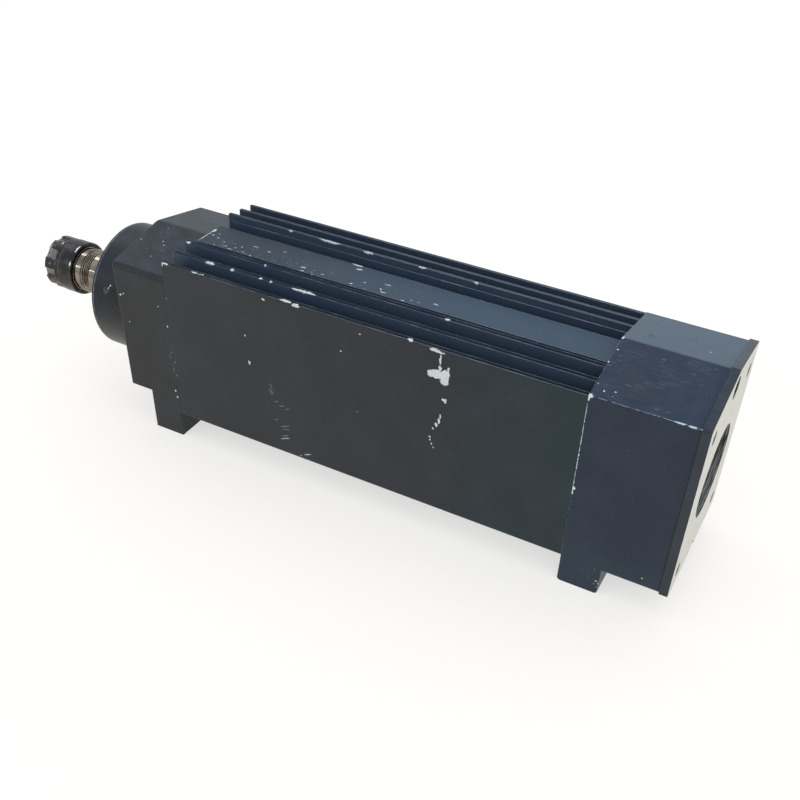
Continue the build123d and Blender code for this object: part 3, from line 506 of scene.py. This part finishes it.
def wound_wire():
    """Copper wire laid side by side, 0.8 mm across, under amber varnish that pools dark."""
    made = material("winding_copper")
    place = place_in_mm(made)
    strands = grain(made, around_axis(made, place), 0.8, 1.0)
    pooled = grain(made, place, 3.5, 4.0)
    colour = tint(made, between(made, strands, 0.40, 0.60), linear("#6a2f16"), linear("#c4703a"))
    colour = tint(made, times(made, between(made, pooled, 0.50, 0.75), 0.6), colour, linear("#3a180a"))
    laid = add(made, "Bump", {"Strength": 0.6, "Distance": 0.2 * mm, "Height": strands})
    return coated(made, colour, 0.75, level(made, pooled, 0.24, 0.42), laid.outputs[0])


dress(sheet_stack(), "stator_core", "rotor_core")
dress(wound_wire(), "stator_windings")
dress(cast_metal("cast_aluminium", "#a6a8aa", "#7d8083"), "rotor_end_rings")


# --- Front cap ---
# Cast aluminium bearing shield, machined at its sides and sprayed with the same enamel, which has gone
# grey here;
# painted light makes its far slope lighter, painted shade runs dark under its near crease, and a thin
# painted highlight lines its front edge; specks lie on its near slope and small chips along its joint.
cap_front, cap_side = corners("front_cap")[0][:2]


def cap_tone_and_painted_light(made, place, up):
    """Charcoal all over, with painted light: a little cooler on the slopes, and lighter on the far
    one.
    """
    y = add(made, "SeparateXYZ", {0: place}).outputs["Y"]
    # Painted light: the far slope is lighter than the near one.
    slope = tint(made, between(made, y, 0.5, 2.5), linear("#181d24"), linear("#2a2e31"))
    return tint(made, between(made, up, 0.3, 0.8), linear("#252526"), slope)


def cap_wear_and_highlight(made, place):
    """A thin painted highlight line round the front edge, and faint broken wear elsewhere."""
    x, y, z = add(made, "SeparateXYZ", {0: place}).outputs
    dashes = between(made, grain(made, place, 4.0, 4.0), 0.50, 0.64)
    # Painted highlight: the light line along the front edge.
    front = times(made, between(made, x, cap_front + 4.25, cap_front + 0.75),
                  level(made, dashes, 0.40, 0.65))
    joint = times(made, between(made, x, body_front - 2.75, body_front - 0.55), dashes, 0.6)
    return most(made, front, joint, times(made, dashes, 0.16), 0.05)


# Specks on the near slope, then chips on the near side and along its joint.
cap_marks = [
    *on_slope((-153.3, -35.2, 118.3, 0.6, 0.5), (-151.5, -37.5, 117.8, 0.45, 0.4),
              (-159.7, -25.9, 120.5, 0.4, 0.35), (-152.4, -30.6, 119.4, 0.5, 0.45),
              (-154.4, -16.2, 122.6, 0.4, 0.35), (-152.1, -19.3, 121.9, 0.4, 0.35),
              (-149.9, -23.9, 120.9, 0.5, 0.4), (-159.6, -4.8, 124.8, 0.4, 0.35),
              (-161.3, -9.4, 124.0, 0.4, 0.4), (-168.8, -19.7, 121.8, 0.45, 0.4),
              (-160.2, -32.7, 118.9, 0.35, 0.35), (-155.8, -39.1, 117.4, 0.35, 0.35),
              (-145.3, -35.3, 118.3, 0.5, 0.35), (-148.5, -31.9, 119.1, 0.4, 0.35)),
    *on_side(cap_side,
             (-169.2, 95.4, 0.8, 0.6), (-166.9, 96.7, 0.6, 0.4), (-139.7, 95.7, 0.5, 0.4),
             (-165.1, 77.7, 0.4, 0.4), (-134.4, 83.5, 0.4, 0.6), reach=1.5),
    *on_side(cap_side,
             (-131.9, 58.0, 0.6, 0.8), (-131.9, 104.0, 0.5, 0.9), (-131.9, 90.0, 0.5, 1.2),
             (-135.4, 35.2, 0.4, 1.0), (-134.2, 30.8, 0.5, 0.9), reach=1.4),
]


def cap_scuffs_and_shade(made, place, up, colour):
    """A dark, uneven line of painted shade just under the near crease, and rough spots by the joint.
    """
    x, y, z = add(made, "SeparateXYZ", {0: place}).outputs
    # Painted shade: a dark line under the rounded near crease.
    waver = add(made, "Math", {0: grain(made, place, 3.0, 3.0), 1: 3.0}, operation="MULTIPLY")
    height = add(made, "Math", {0: z, 1: waver.outputs[0]}, operation="ADD").outputs[0]
    outer = between(made, y, cap_side + 1.4, cap_side + 0.4)
    line = times(made, between(made, height, 114.5, 115.2), between(made, height, 116.7, 116.0),
                 outer)
    colour = tint(made, times(made, line, 0.7), colour, linear("#07080a"))
    beside = times(made, between(made, x, body_front - 6.25, body_front - 3.75),
                   between(made, z, 42.0, 50.0), between(made, z, 78.0, 66.0), outer)
    rough = between(made, grain(made, place, 1.5, 3.0, stretch=(1.0, 1.0, 1.8)), 0.55, 0.68)
    return tint(made, times(made, beside, rough, 0.45), colour, linear("#a2a4a5"))


cap_enamel = enamel("cap_enamel", cap_tone_and_painted_light, cap_wear_and_highlight, cap_marks, dust=0.10, draw=(4.0, 1.0, 1.0),
                    scuff=cap_scuffs_and_shade)
dress(cap_enamel, "front_cap")


# --- Nose flange and grease port ---
# Turned steel bearing housing under a black enamel, faintly worn on its edges; painted light sets its
# tone by the way it faces, and a painted highlight line runs behind its front chamfer.
# The port is closed by a small turned copper plug, pressed in flush, dull and reddish.
flange_front = corners("nose_flange")[0][0]
flange_radius = 41.0


def flange_tone_and_painted_light(made, place, up):
    """Painted light: near black, navy where it turns up, and greyer at the very top and underneath."""
    # Painted light: the colour follows the way the turned surface faces.
    colour = tint(made, between(made, up, -0.25, 0.15), linear("#2b2b2b"), linear("#11141b"))
    return tint(made, between(made, up, 0.50, 0.90), colour, linear("#14191f"))


def flange_worn(made, place):
    """Faint speckle on the edges."""
    return times(made, between(made, grain(made, place, 3.0, 3.0), 0.38, 0.56), 0.25)


def flange_painted_highlight(made, place):
    """A painted highlight: a hair line just behind the front chamfer."""
    x = add(made, "SeparateXYZ", {0: place}).outputs["X"]
    # Painted highlight line behind the chamfer.
    line = times(made, between(made, x, flange_front + 3.25, flange_front + 2.95),
                 between(made, x, flange_front + 2.15, flange_front + 2.45))
    dashes = between(made, grain(made, place, 4.0, 3.0), 0.38, 0.56)
    radius = add(made, "SeparateXYZ", {0: around_axis(made, place)}).outputs["Y"]
    outer = between(made, radius, flange_radius - 1.5, flange_radius - 1.0)
    return times(made, line, outer, level(made, dashes, 0.07, 0.20))


def flange_scuff(made, place, up, colour):
    """Bare speckle where swarf has struck the underside."""
    z = add(made, "SeparateXYZ", {0: place}).outputs["Z"]
    struck = times(made, between(made, z, 56.0, 44.0),
                   between(made, grain(made, place, 1.1, 2.0), 0.58, 0.66), 0.6)
    return tint(made, struck, colour, linear("#8f8d88"))


flange_marks = [((-185.5, -36.1, 92.5), (0.5, 1.5, 0.4)), ((-186.4, -36.8, 91.0), (0.3, 1.2, 0.7))]
flange_enamel = enamel("flange_enamel", flange_tone_and_painted_light, flange_worn, flange_marks, dust=0.04,
                       gloss=0.38, draw=(1.0, 30.0, 30.0), scuff=flange_scuff, bare_and_highlight_at=flange_painted_highlight)
dress(flange_enamel, "nose_flange")
dress(cast_metal("plug_copper", "#6f5d64", "#4f4049", rough=0.6, dirt="#4a3c44"), "port_plug")


# --- Screws, bearings and spring ---
# Socket screws of steel, blackened in hot oxide, worn grey at their edges.
# The races are ground and lapped; the preload spring is tempered to a straw blue.
def turned_metal(name, light, dark, rough=0.3, lines=0.25, rub_and_highlight=0.5, bright="#d6d3cc", stain=None):
    """Turned metal: lines that go round the axis, cloudy, with rubbed edges.

    The lines are coarser than real tool marks, so that they show.
    """
    made = material(name)
    place = place_in_mm(made)
    cut = grain(made, around_axis(made, place), lines, 3.0)
    cloud = between(made, grain(made, place, 6.0, 4.0), 0.34, 0.68)
    colour = tint(made, cloud, linear(dark), linear(light))
    colour = tint(made, times(made, between(made, cut, 0.50, 0.72), 0.35), colour, linear(dark))
    if stain:
        oily = between(made, grain(made, place, 3.0, 4.0), 0.44, 0.70)
        colour = tint(made, times(made, oily, 0.6), colour, linear(stain))
    worn = times(made, edges(made, 0.3), between(made, grain(made, place, 2.4, 4.0), 0.36, 0.56), rub_and_highlight)
    colour = tint(made, worn, colour, linear(bright))
    gloss = level(made, cut, rough - 0.06, rough + 0.08)
    rounded = add(made, "Bevel", {"Radius": 0.25 * mm}, samples=4)
    scored = add(made, "Bump", {"Strength": 0.25, "Distance": 0.03 * mm, "Height": cut,
                                "Normal": rounded.outputs[0]})
    return coated(made, colour, 1.0, gloss, scored.outputs[0])


oxide = turned_metal("black_oxide", "#34343a", "#1f1f23", rough=0.36, rub_and_highlight=0.7, bright="#8e8d8a")
dress(oxide, "flange_screws", "front_tie_screws", "rear_tie_screws", "lid_screws", "lock_nut",
      "fan_circlip")
race_steel = turned_metal("race_steel", "#c9c9cb", "#a7a7ab", rough=0.16, lines=0.12, rub_and_highlight=0.2)
dress(race_steel, "front_bearing_a_outer_race", "front_bearing_a_inner_race",
      "front_bearing_b_outer_race", "front_bearing_b_inner_race", "rear_bearing_outer_race",
      "rear_bearing_inner_race")
dress(turned_metal("cage_brass", "#b08a4a", "#84642e", rough=0.3), "front_bearing_a_balls",
      "front_bearing_b_balls", "rear_bearing_balls")
dress(turned_metal("spring_steel", "#5a6072", "#3b3d4a", rough=0.26), "preload_spring")


# --- Spindle shaft ---
# Turned and ground steel with a brassy film of oil. Behind the nut it has a plain band,
# then a return thread that throws oil back, and a seal band; the nose thread takes the nut.
shaft_steps = 96
nose_front, shaft_rear = [corner[0] for corner in corners("spindle_shaft")]
nose_thread_rear = corners("collet_nut")[1][0]
nose_radius = 15.0                # over the crests of its M30 thread
nose_chamfer = 0.8
nose_pitch = 1.0
thread_depth = 0.55
socket_mouth = 12.6               # the collet's cone in the nose
socket_rear_radius = 8.524
socket_depth = 29.0
through_radius = 8.3
through_depth = 48.0
relief_radius = 13.8              # groove behind the nut, where the nose thread runs out
relief_rear = nose_thread_rear + 1.2
seal_front = relief_rear + 4.4    # return thread, behind a plain band
seal_rear = seal_front + 7.6
seal_pitch = 1.6
seal_crest = 14.95
seal_root = 14.1
seal_lead = 0.2                   # bevel at each end of the return thread
seal_lead_radius = 14.7
slinger_front = corners("slinger_ring")[0][0]
lock_nut_rear = corners("lock_nut")[1][0]
rear_race_front, rear_race_rear = [corner[0] for corner in corners("rear_bearing_inner_race")]
rear_seat_end = rear_race_rear + 2.0
fan_front, fan_rear = [corner[0] for corner in corners("cooling_fan")]
front_seat = 17.5                 # radius under the front bearing pair
rotor_seat = 16.5
rear_seat = 12.5                  # radius under the rear bearing
tail_radius = 11.0
fan_seat = 8.0
groove_radius = 7.4               # for the circlip behind the fan
groove_rear = fan_rear + 1.3
end_chamfer = 0.6


def thread(front, rear, root, crest, pitch, rings_a_turn):
    """Rings of a real helical thread: each is its place along X and its radius by angle share."""
    count = round((rear - front) / pitch * rings_a_turn)
    made = []
    for k in range(1, count):
        x = front + (rear - front) * k / count
        fade = min(1.0, (x - front) / (0.6 * pitch), (rear - x) / (0.6 * pitch))

        def radius(share, x=x, fade=fade):
            phase = ((x - front) / pitch - share) % 1.0
            tooth = 1.0 - abs(2.0 * phase - 1.0)
            return root + (crest - root) * max(0.0, min(1.0, 1.6 * tooth - 0.3)) * fade
        made.append((x, radius))
    return made


def lathe(name, rings, steps):
    """A closed turned solid from rings along X, with a flat end at its first and last ring."""
    points, faces = [], []
    for x, radius in rings:
        for k in range(steps):
            r = radius(k / steps) if callable(radius) else radius
            angle = 2 * pi * k / steps
            points.append((x * mm, r * mm * cos(angle), (axis_height + r * sin(angle)) * mm))
    for i in range(len(rings) - 1):
        for k in range(steps):
            n = (k + 1) % steps
            faces.append((i * steps + k, (i + 1) * steps + k, (i + 1) * steps + n, i * steps + n))
    faces.append(tuple(range(steps)))
    faces.append(tuple(reversed(range(len(points) - steps, len(points)))))
    mesh = bpy.data.meshes.new(name)
    mesh.from_pydata(points, [], faces)
    mesh.polygons.foreach_set("use_smooth", [True] * len(faces))
    mesh.set_sharp_from_angle(angle=radians(28))
    return placed(name, mesh)


nose_thread = thread(nose_front + nose_chamfer, nose_thread_rear, nose_radius - thread_depth,
                     nose_radius, nose_pitch, 5)
return_thread = thread(seal_front + seal_lead, seal_rear - seal_lead, seal_root, seal_crest,
                       seal_pitch, 10)
shaft = lathe("shaft_with_threads", [
    (nose_front + through_depth, through_radius), (nose_front + socket_depth, through_radius),
    (nose_front + socket_depth, socket_rear_radius), (nose_front, socket_mouth),
    (nose_front, nose_radius - nose_chamfer), (nose_front + nose_chamfer, nose_radius),
    *nose_thread, (nose_thread_rear, nose_radius),
    (nose_thread_rear, relief_radius), (relief_rear, relief_radius),
    (relief_rear, nose_radius), (seal_front, nose_radius), (seal_front + seal_lead, seal_lead_radius),
    *return_thread, (seal_rear - seal_lead, seal_lead_radius), (seal_rear, nose_radius),
    (slinger_front, nose_radius), (slinger_front, front_seat),
    (lock_nut_rear, front_seat), (lock_nut_rear, rotor_seat),
    (rear_race_front, rotor_seat), (rear_race_front, rear_seat),
    (rear_seat_end, rear_seat), (rear_seat_end, tail_radius),
    (fan_front, tail_radius), (fan_front, fan_seat),
    (fan_rear, fan_seat), (fan_rear, groove_radius),
    (groove_rear, groove_radius), (groove_rear, fan_seat),
    (shaft_rear - end_chamfer, fan_seat), (shaft_rear, fan_seat - end_chamfer)], shaft_steps)
shaft_steel = turned_metal("shaft_steel", "#9b9082", "#6a6056", rough=0.14, lines=0.4, rub_and_highlight=0.5,
                           bright="#efe6cf", stain="#5d5040")
shaft.data.materials.append(shaft_steel)
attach(shaft, "spindle")
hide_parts("spindle_shaft")
dress(turned_metal("slinger_steel", "#7d7c7a", "#56555a", rough=0.3), "slinger_ring")


# --- Collet and nut ---
# The collet is ground spring steel. The nut is hardened steel, browned by oil and burnished,
# bright where spanners have bruised its notches, with painted highlights in short dashes on its edges
# and in spots on its top.
nut_front, nut_rear = [corner[0] for corner in corners("collet_nut")]
notch_end = nut_front + 8.85      # the notches reach back to here
dress(turned_metal("collet_steel", "#8f8d88", "#66645f", rough=0.26, lines=0.2, rub_and_highlight=0.7), "collet")


def nut_metal():
    """Dark burnished steel, bright in its notches, with painted highlights in dashes on its edges and
    in spots.
    """
    made = material("nut_steel")
    place = place_in_mm(made)
    along = add(made, "SeparateXYZ", {0: place}).outputs["X"]
    cut = grain(made, around_axis(made, place), 0.35, 3.0)
    cloud = between(made, grain(made, place, 5.0, 4.0), 0.34, 0.68)
    colour = tint(made, cloud, linear("#343232"), linear("#444140"))
    radius = add(made, "SeparateXYZ", {0: around_axis(made, place)}).outputs["Y"]
    floors = times(made, between(made, radius, 16.9, 16.5), between(made, radius, 15.2, 15.5),
                   between(made, along, notch_end + 1.0, notch_end))
    colour = tint(made, times(made, floors, 0.8), colour, linear("#817c75"))
    bruised = times(made, between(made, along, notch_end + 4.0, notch_end),
                    between(made, grain(made, place, 2.6, 3.0), 0.54, 0.68), 0.16)
    lit = between(made, grain(made, place, 5.0, 2.0), 0.44, 0.56)
    # Painted highlights: bright spots on the nut's upper rear edge and on its top.
    rear = flakes(made, place, [((-240.6, -5.4, 90.0), (0.5, 3.6, 2.4)),
                                ((-240.6, -14.6, 83.2), (0.4, 1.4, 2.2)),
                                ((-261.1, -10.0, 87.3), (0.3, 3.2, 2.6)),
                                ((-254.6, -3.0, 90.3), (0.3, 2.4, 1.2))], 0.5, 0.3)
    # Painted highlight dashes along the edges, strongest by the rear edge.
    rub_and_highlight = times(made, edges(made, 0.30), level(made, lit, 0.06, 0.80),
                level(made, between(made, along, nut_rear - 0.55, nut_rear - 2.55), 0.3, 1.0))
    bare = most(made, bruised, rear, rub_and_highlight)
    colour = tint(made, bare, colour, linear("#dcd9d2"))
    rounded = add(made, "Bevel", {"Radius": 0.5 * mm}, samples=4)
    dented = add(made, "Bump", {"Strength": 0.6, "Distance": 0.3 * mm, "Height": bruised,
                                "Normal": rounded.outputs[0]}, invert=True)
    scored = add(made, "Bump", {"Strength": 0.25, "Distance": 0.04 * mm, "Height": cut,
                                "Normal": dented.outputs[0]})
    gloss = level(made, cut, 0.28, 0.42)
    return coated(made, colour, 1.0, gloss, scored.outputs[0])


dress(nut_metal(), "collet_nut")


# --- Rear cap ---
# A second casting, rubbed by hands on its slopes: its joint edge and near crease are worn white,
# fine scratches run along the near slope, and a few thin scuffs wander over the far one,
# which painted light makes lighter than the near slope.
rear_end = corners("rear_cap")[1][0]
crease_out = 45.9                 # the crease between side and slope, from the middle
crease_height = 128.4


def rear_tone_and_painted_light(made, place, up):
    """Slate with painted light: darker on the near slope with a purple stain, lighter on the far
    slope.
    """
    x, y, z = add(made, "SeparateXYZ", {0: place}).outputs
    top = between(made, up, 0.3, 0.8)
    # The sides are lighter towards the bottom.
    side = tint(made, between(made, z, 40.0, 10.0), linear("#1e2a39"), linear("#263441"))
    colour = tint(made, top, side, linear("#212f42"))
    # Painted light: the far slope is lighter than the near one.
    colour = tint(made, times(made, top, between(made, y, 0.5, 2.5)), colour, linear("#374c5d"))
    away = add(made, "VectorMath", {0: place, 1: (156.0, -24.0, 132.7)}, operation="DISTANCE")
    stain = times(made, top, between(made, away.outputs["Value"], 30.0, 4.0),
                  between(made, grain(made, place, 18.0, 1.0), 0.20, 0.70))
    return tint(made, times(made, stain, 0.5), colour, linear("#2a2430"))


def rear_worn(made, place):
    """Thin white dashes along the joint edge and the near crease, faint on the other edges."""
    x, y, z = add(made, "SeparateXYZ", {0: place}).outputs
    dashes = between(made, grain(made, place, 1.8, 2.0), 0.50, 0.56)
    down = level(made, between(made, z, 52.0, 66.0), 0.22, 1.0)
    by_joint = between(made, x, body_rear + 1.85, body_rear + 0.65)
    joint = times(made, by_joint, down, dashes, between(made, y, near_side + 16.0, near_side + 1.0))
    ridge = times(made, by_joint, dashes, 0.7)
    crease = times(made, between(made, z, crease_height - 3.4, crease_height - 1.9),
                   between(made, y, near_side + 3.0, near_side + 1.5), dashes,
                   between(made, x, rear_end + 0.25, rear_end - 0.75))
    rest = times(made, dashes, between(made, x, rear_end - 3.75, rear_end - 5.75), 0.14)
    return most(made, joint, ridge, crease, rest)


def rear_bare(made, place):
    """Bare metal: a ragged band down the joint, the end of the crease, and all of the inside."""
    x, y, z = add(made, "SeparateXYZ", {0: place}).outputs
    rag = add(made, "Math", {0: grain(made, place, 1.6, 3.0), 1: 1.6, 2: -0.8},
              operation="MULTIPLY_ADD").outputs[0]
    from_joint = add(made, "Math", {0: x, 1: rag}, operation="ADD").outputs[0]
    broken = between(made, grain(made, place, 3.2, 3.0), 0.42, 0.48)
    joint = times(made, between(made, from_joint, body_rear + 0.45, body_rear + 0.25), broken,
                  between(made, z, 62.0, 70.0), between(made, y, near_side + 1.0, near_side + 0.2))
    corner = add(made, "VectorMath", {0: place, 1: (0.0, 1.0, 1.0),
                                      2: (0.0, crease_out, -crease_height)},
                 operation="MULTIPLY_ADD")
    off = add(made, "VectorMath", {0: corner.outputs[0]}, operation="LENGTH").outputs["Value"]
    reach = level(made, between(made, x, 172.0, 182.0), 0.16, 0.75)
    ragged = add(made, "Math", {0: rag, 1: 0.5, 2: off}, operation="MULTIPLY_ADD").outputs[0]
    gap = add(made, "Math", {0: reach, 1: ragged}, operation="SUBTRACT").outputs[0]
    crease = times(made, between(made, gap, 0.0, 0.3), broken,
                   between(made, x, body_rear + 0.25, body_rear + 17.25),
                   between(made, x, rear_end - 2.35, rear_end - 3.35))
    out = add(made, "Math", {0: y}, operation="ABSOLUTE").outputs[0]
    under_roof = add(made, "Math", {0: out, 1: 0.18, 2: z}, operation="MULTIPLY_ADD").outputs[0]
    inside = times(made, between(made, under_roof, 135.0, 134.6), between(made, out, 44.4, 44.0),
                   between(made, x, 142.4, 142.7), between(made, z, 19.2, 19.8), 0.85)
    return most(made, joint, crease, inside)


# Chips by the joint and on the kicked foot, specks on the slopes, and chips at the corners.
rear_marks = [
    *on_side(near_side,
             (133.0, 68.4, 1.0, 1.5), (132.9, 65.4, 0.5, 1.4), (157.0, 10.5, 0.5, 0.7),
             (158.3, 6.4, 0.4, 0.7), (156.0, 5.2, 0.7, 0.4), (156.6, 8.0, 0.4, 0.4),
             (158.6, 12.6, 0.3, 1.0), (157.5, 14.6, 0.35, 0.5), (155.2, 9.4, 0.5, 0.35),
             (154.2, 6.6, 0.4, 0.3), (152.9, 17.2, 0.35, 0.35), (179.1, 23.9, 0.5, 0.35)),
    *on_slope((134.0, -9.3, 135.0, 0.5, 0.5), (133.2, -20.0, 133.0, 0.5, 0.6),
              (134.0, -36.7, 130.0, 0.5, 0.6), (138.6, -40.4, 129.4, 0.4, 0.4),
              (144.2, -38.7, 129.7, 0.5, 0.3), (143.6, -42.2, 129.1, 0.3, 0.3),
              (176.0, 13.9, 134.2, 0.5, 0.4)),
    ((133.6, -45.8, 128.2), (1.3, 1.4, 0.9)), ((133.2, -46.0, 126.4), (0.7, 0.9, 1.4)),
    ((190.4, -46.0, 128.4), (0.7, 0.9, 0.7)), ((133.2, 0.5, 136.6), (0.9, 1.3, 1.0)),
]


def rear_scuff(made, place, up, colour):
    """Fine light scratches lengthwise on the near slope, thin dark scuffs on the far slope."""
    x, y, z = add(made, "SeparateXYZ", {0: place}).outputs
    slope = between(made, up, 0.6, 0.9)
    drawn = grain(made, place, 0.5, 2.0, stretch=(14.0, 1.0, 1.0))
    patches = between(made, grain(made, place, 12.0, 2.0), 0.36, 0.66)
    near = times(made, slope, between(made, y, 1.0, -2.0), between(made, x, 188.0, 180.0))
    colour = tint(made, times(made, near, between(made, drawn, 0.50, 0.72), patches, 0.20),
                  colour, linear("#8794a2"))
    deep = grain(made, place, 0.7, 1.0, stretch=(12.0, 1.0, 1.0))
    colour = tint(made, times(made, near, between(made, deep, 0.72, 0.78), 0.35),
                  colour, linear("#b4bec8"))
    seam = times(made, between(made, x, rear_end - 0.75, rear_end - 0.35),
                 between(made, up, 0.9, 0.6))
    colour = tint(made, times(made, seam, 0.8), colour, linear("#07090d"))
    kicked = flakes(made, place, on_side(near_side, (149.6, 12.2, 5.0, 4.4)), 3.0)
    brush = between(made, grain(made, place, 0.8, 2.0, stretch=(4.0, 1.0, 1.0)), 0.62, 0.70)
    colour = tint(made, times(made, kicked, brush, 0.35), colour, linear("#9aa4ac"))
    wander = add(made, "Math", {0: grain(made, place, 7.0, 2.0), 1: 0.5}, operation="SUBTRACT")
    off = add(made, "Math", {0: wander.outputs[0]}, operation="ABSOLUTE").outputs[0]
    spots = flakes(made, place, [((144.0, 29.0, 131.8), (4.0, 5.0, 4.0)),
                                 ((144.7, 15.2, 134.0), (2.4, 3.0, 4.0)),
                                 ((165.0, 22.0, 133.0), (4.0, 3.4, 4.0)),
                                 ((176.0, 23.0, 132.8), (3.0, 2.6, 4.0)),
                                 ((166.0, 7.0, 135.4), (4.0, 2.4, 4.0))], 3.0)
    scuffs = times(made, slope, spots, between(made, off, 0.020, 0.010))
    return tint(made, times(made, scuffs, 0.8), colour, linear("#0a0f16"))


rear_enamel = enamel("rear_cap_enamel", rear_tone_and_painted_light, rear_worn, rear_marks, dust=0.05, gloss=0.40,
                     draw=(14.0, 1.0, 1.0), scuff=rear_scuff, bare_and_highlight_at=rear_bare, rub_width=0.3)
dress(rear_enamel, "rear_cap")


# --- Cooling fan ---
# Pressure-cast aluminium wheel with swept blades, dull and grey with the dust it draws in.
dress(cast_metal("fan_aluminium", "#d2d3d2", "#a9abac", rough=0.6, dirt="#8f8e8a"), "cooling_fan")


# --- Inlet guard ---
# A disc of sheet steel, punched with rows of square holes and pressed into the back of the lid.
# It is dull zinc, furred with grey dust, and streaked where the dust was wiped down it.
def dusty_zinc():
    """Dull plated sheet under streaks of dust that run up and down."""
    made = material("dusty_zinc")
    place = place_in_mm(made)
    streaks = grain(made, place, 1.2, 3.0, stretch=(1.0, 1.0, 12.0))
    cloud = between(made, grain(made, place, 6.0, 4.0), 0.35, 0.70)
    colour = tint(made, between(made, streaks, 0.38, 0.62), linear("#4d4f50"), linear("#b9bcc0"))
    colour = tint(made, times(made, cloud, 0.4), colour, linear("#6f6a66"))
    furred = add(made, "Bump", {"Strength": 0.4, "Distance": 0.2 * mm, "Height": streaks})
    return coated(made, colour, 0.35, 0.62, furred.outputs[0])


dress(dusty_zinc(), "inlet_guard")


# --- Rear lid and lead grommet ---
# Aluminium plate: enamelled with the cap on its edges, and milled bare on its rear face,
# where the cutter has left wide faint arcs. The inlet's wall is bored, grey and scored round.
# The leads' bush is black rubber.
lid_front, lid_back = [corner[0] for corner in corners("rear_lid")]
inlet_outer = 29.5                # the inlet's wall and the guard's seat lie within this radius
arcs_from = (0.0, -150.0, 40.0)   # middle of the cutter's arcs


def lid_metal():
    """Enamelled edges around a bare milled face and a bored inlet.

    The cutter's arcs and the scores in the bore are coarser than real ones, so that they show.
    """
    made = material("lid_metal")
    place = place_in_mm(made)
    facing = add(made, "NewGeometry").outputs["Normal"]
    back, side, up = add(made, "SeparateXYZ", {0: facing}).outputs
    along = add(made, "SeparateXYZ", {0: place}).outputs["X"]
    cloud = grain(made, place, 20.0, 4.0)
    coat = tint(made, between(made, cloud, 0.35, 0.75), linear("#1e2831"), linear("#28333d"))
    settled = times(made, between(made, up, 0.5, 0.95),
                    between(made, grain(made, place, 5.0, 5.0), 0.35, 0.8))
    coat = tint(made, times(made, settled, 0.08), coat, linear("#6d7880"))
    sweep = add(made, "VectorMath", {0: place, 1: arcs_from}, operation="SUBTRACT").outputs[0]
    flat = add(made, "VectorMath", {0: sweep, 1: (0.0, 1.0, 1.0)}, operation="MULTIPLY").outputs[0]
    arc = add(made, "VectorMath", {0: flat}, operation="LENGTH")
    ring = add(made, "CombineXYZ", {"X": arc.outputs["Value"]}).outputs[0]
    cuts = grain(made, ring, 0.9, 2.0)
    grime = between(made, grain(made, place, 9.0, 5.0), 0.50, 0.80)
    bare = tint(made, between(made, cuts, 0.35, 0.65), linear("#d2cec5"), linear("#e6e2d9"))
    bare = tint(made, times(made, grime, 0.35), bare, linear("#9c9580"))
    face = times(made, between(made, back, 0.6, 0.8),
                 between(made, along, lid_back - 0.25, lid_back - 0.05))
    dashes = between(made, grain(made, place, 3.0, 4.0), 0.45, 0.6)
    rub_and_highlight = times(made, edges(made, 0.3), dashes,
                between(made, along, lid_back - 3.75, lid_back - 1.75), 0.6)
    metal = most(made, face, rub_and_highlight)
    colour = tint(made, metal, coat, bare)
    radius = add(made, "SeparateXYZ", {0: around_axis(made, place)}).outputs["Y"]
    bored = times(made, between(made, radius, inlet_outer + 0.1, inlet_outer - 0.1),
                  between(made, back, 0.8, 0.6))
    scores = grain(made, place, 0.40, 3.0, stretch=(1.0, 26.0, 26.0))
    wall = tint(made, between(made, scores, 0.36, 0.64), linear("#3b3b39"), linear("#aeaca6"))
    shade = most(made, between(made, along, lid_back - 0.35, lid_back - 0.15),
                 between(made, along, lid_front + 1.65, lid_front + 1.05))
    wall = tint(made, times(made, shade, 0.8), wall, linear("#141618"))
    colour = tint(made, bored, colour, wall)
    metal = most(made, metal, bored)
    rounded = add(made, "Bevel", {"Radius": 0.4 * mm}, samples=4)
    worked = level(made, bored, cuts, scores)
    scored = add(made, "Bump", {"Strength": 0.3, "Distance": 0.04 * mm, "Height": worked,
                                "Normal": rounded.outputs[0]})
    return coated(made, colour, times(made, metal, 0.5), level(made, metal, 0.42, 0.5),
                  scored.outputs[0], IOR=1.45)


def bush_rubber():
    """Moulded rubber, dusty grey where it stands proud."""
    made = material("bush_rubber")
    place = place_in_mm(made)
    skin_grain = grain(made, place, 0.6, 3.0)
    dusty = between(made, grain(made, place, 2.5, 4.0), 0.40, 0.70)
    colour = tint(made, times(made, dusty, 0.5), linear("#131314"), linear("#2c2c2d"))
    fine = add(made, "Bump", {"Strength": 0.3, "Distance": 0.08 * mm, "Height": skin_grain})
    return coated(made, colour, 0.0, level(made, dusty, 0.55, 0.8), fine.outputs[0])


dress(lid_metal(), "rear_lid")
dress(bush_rubber(), "lead_grommet")
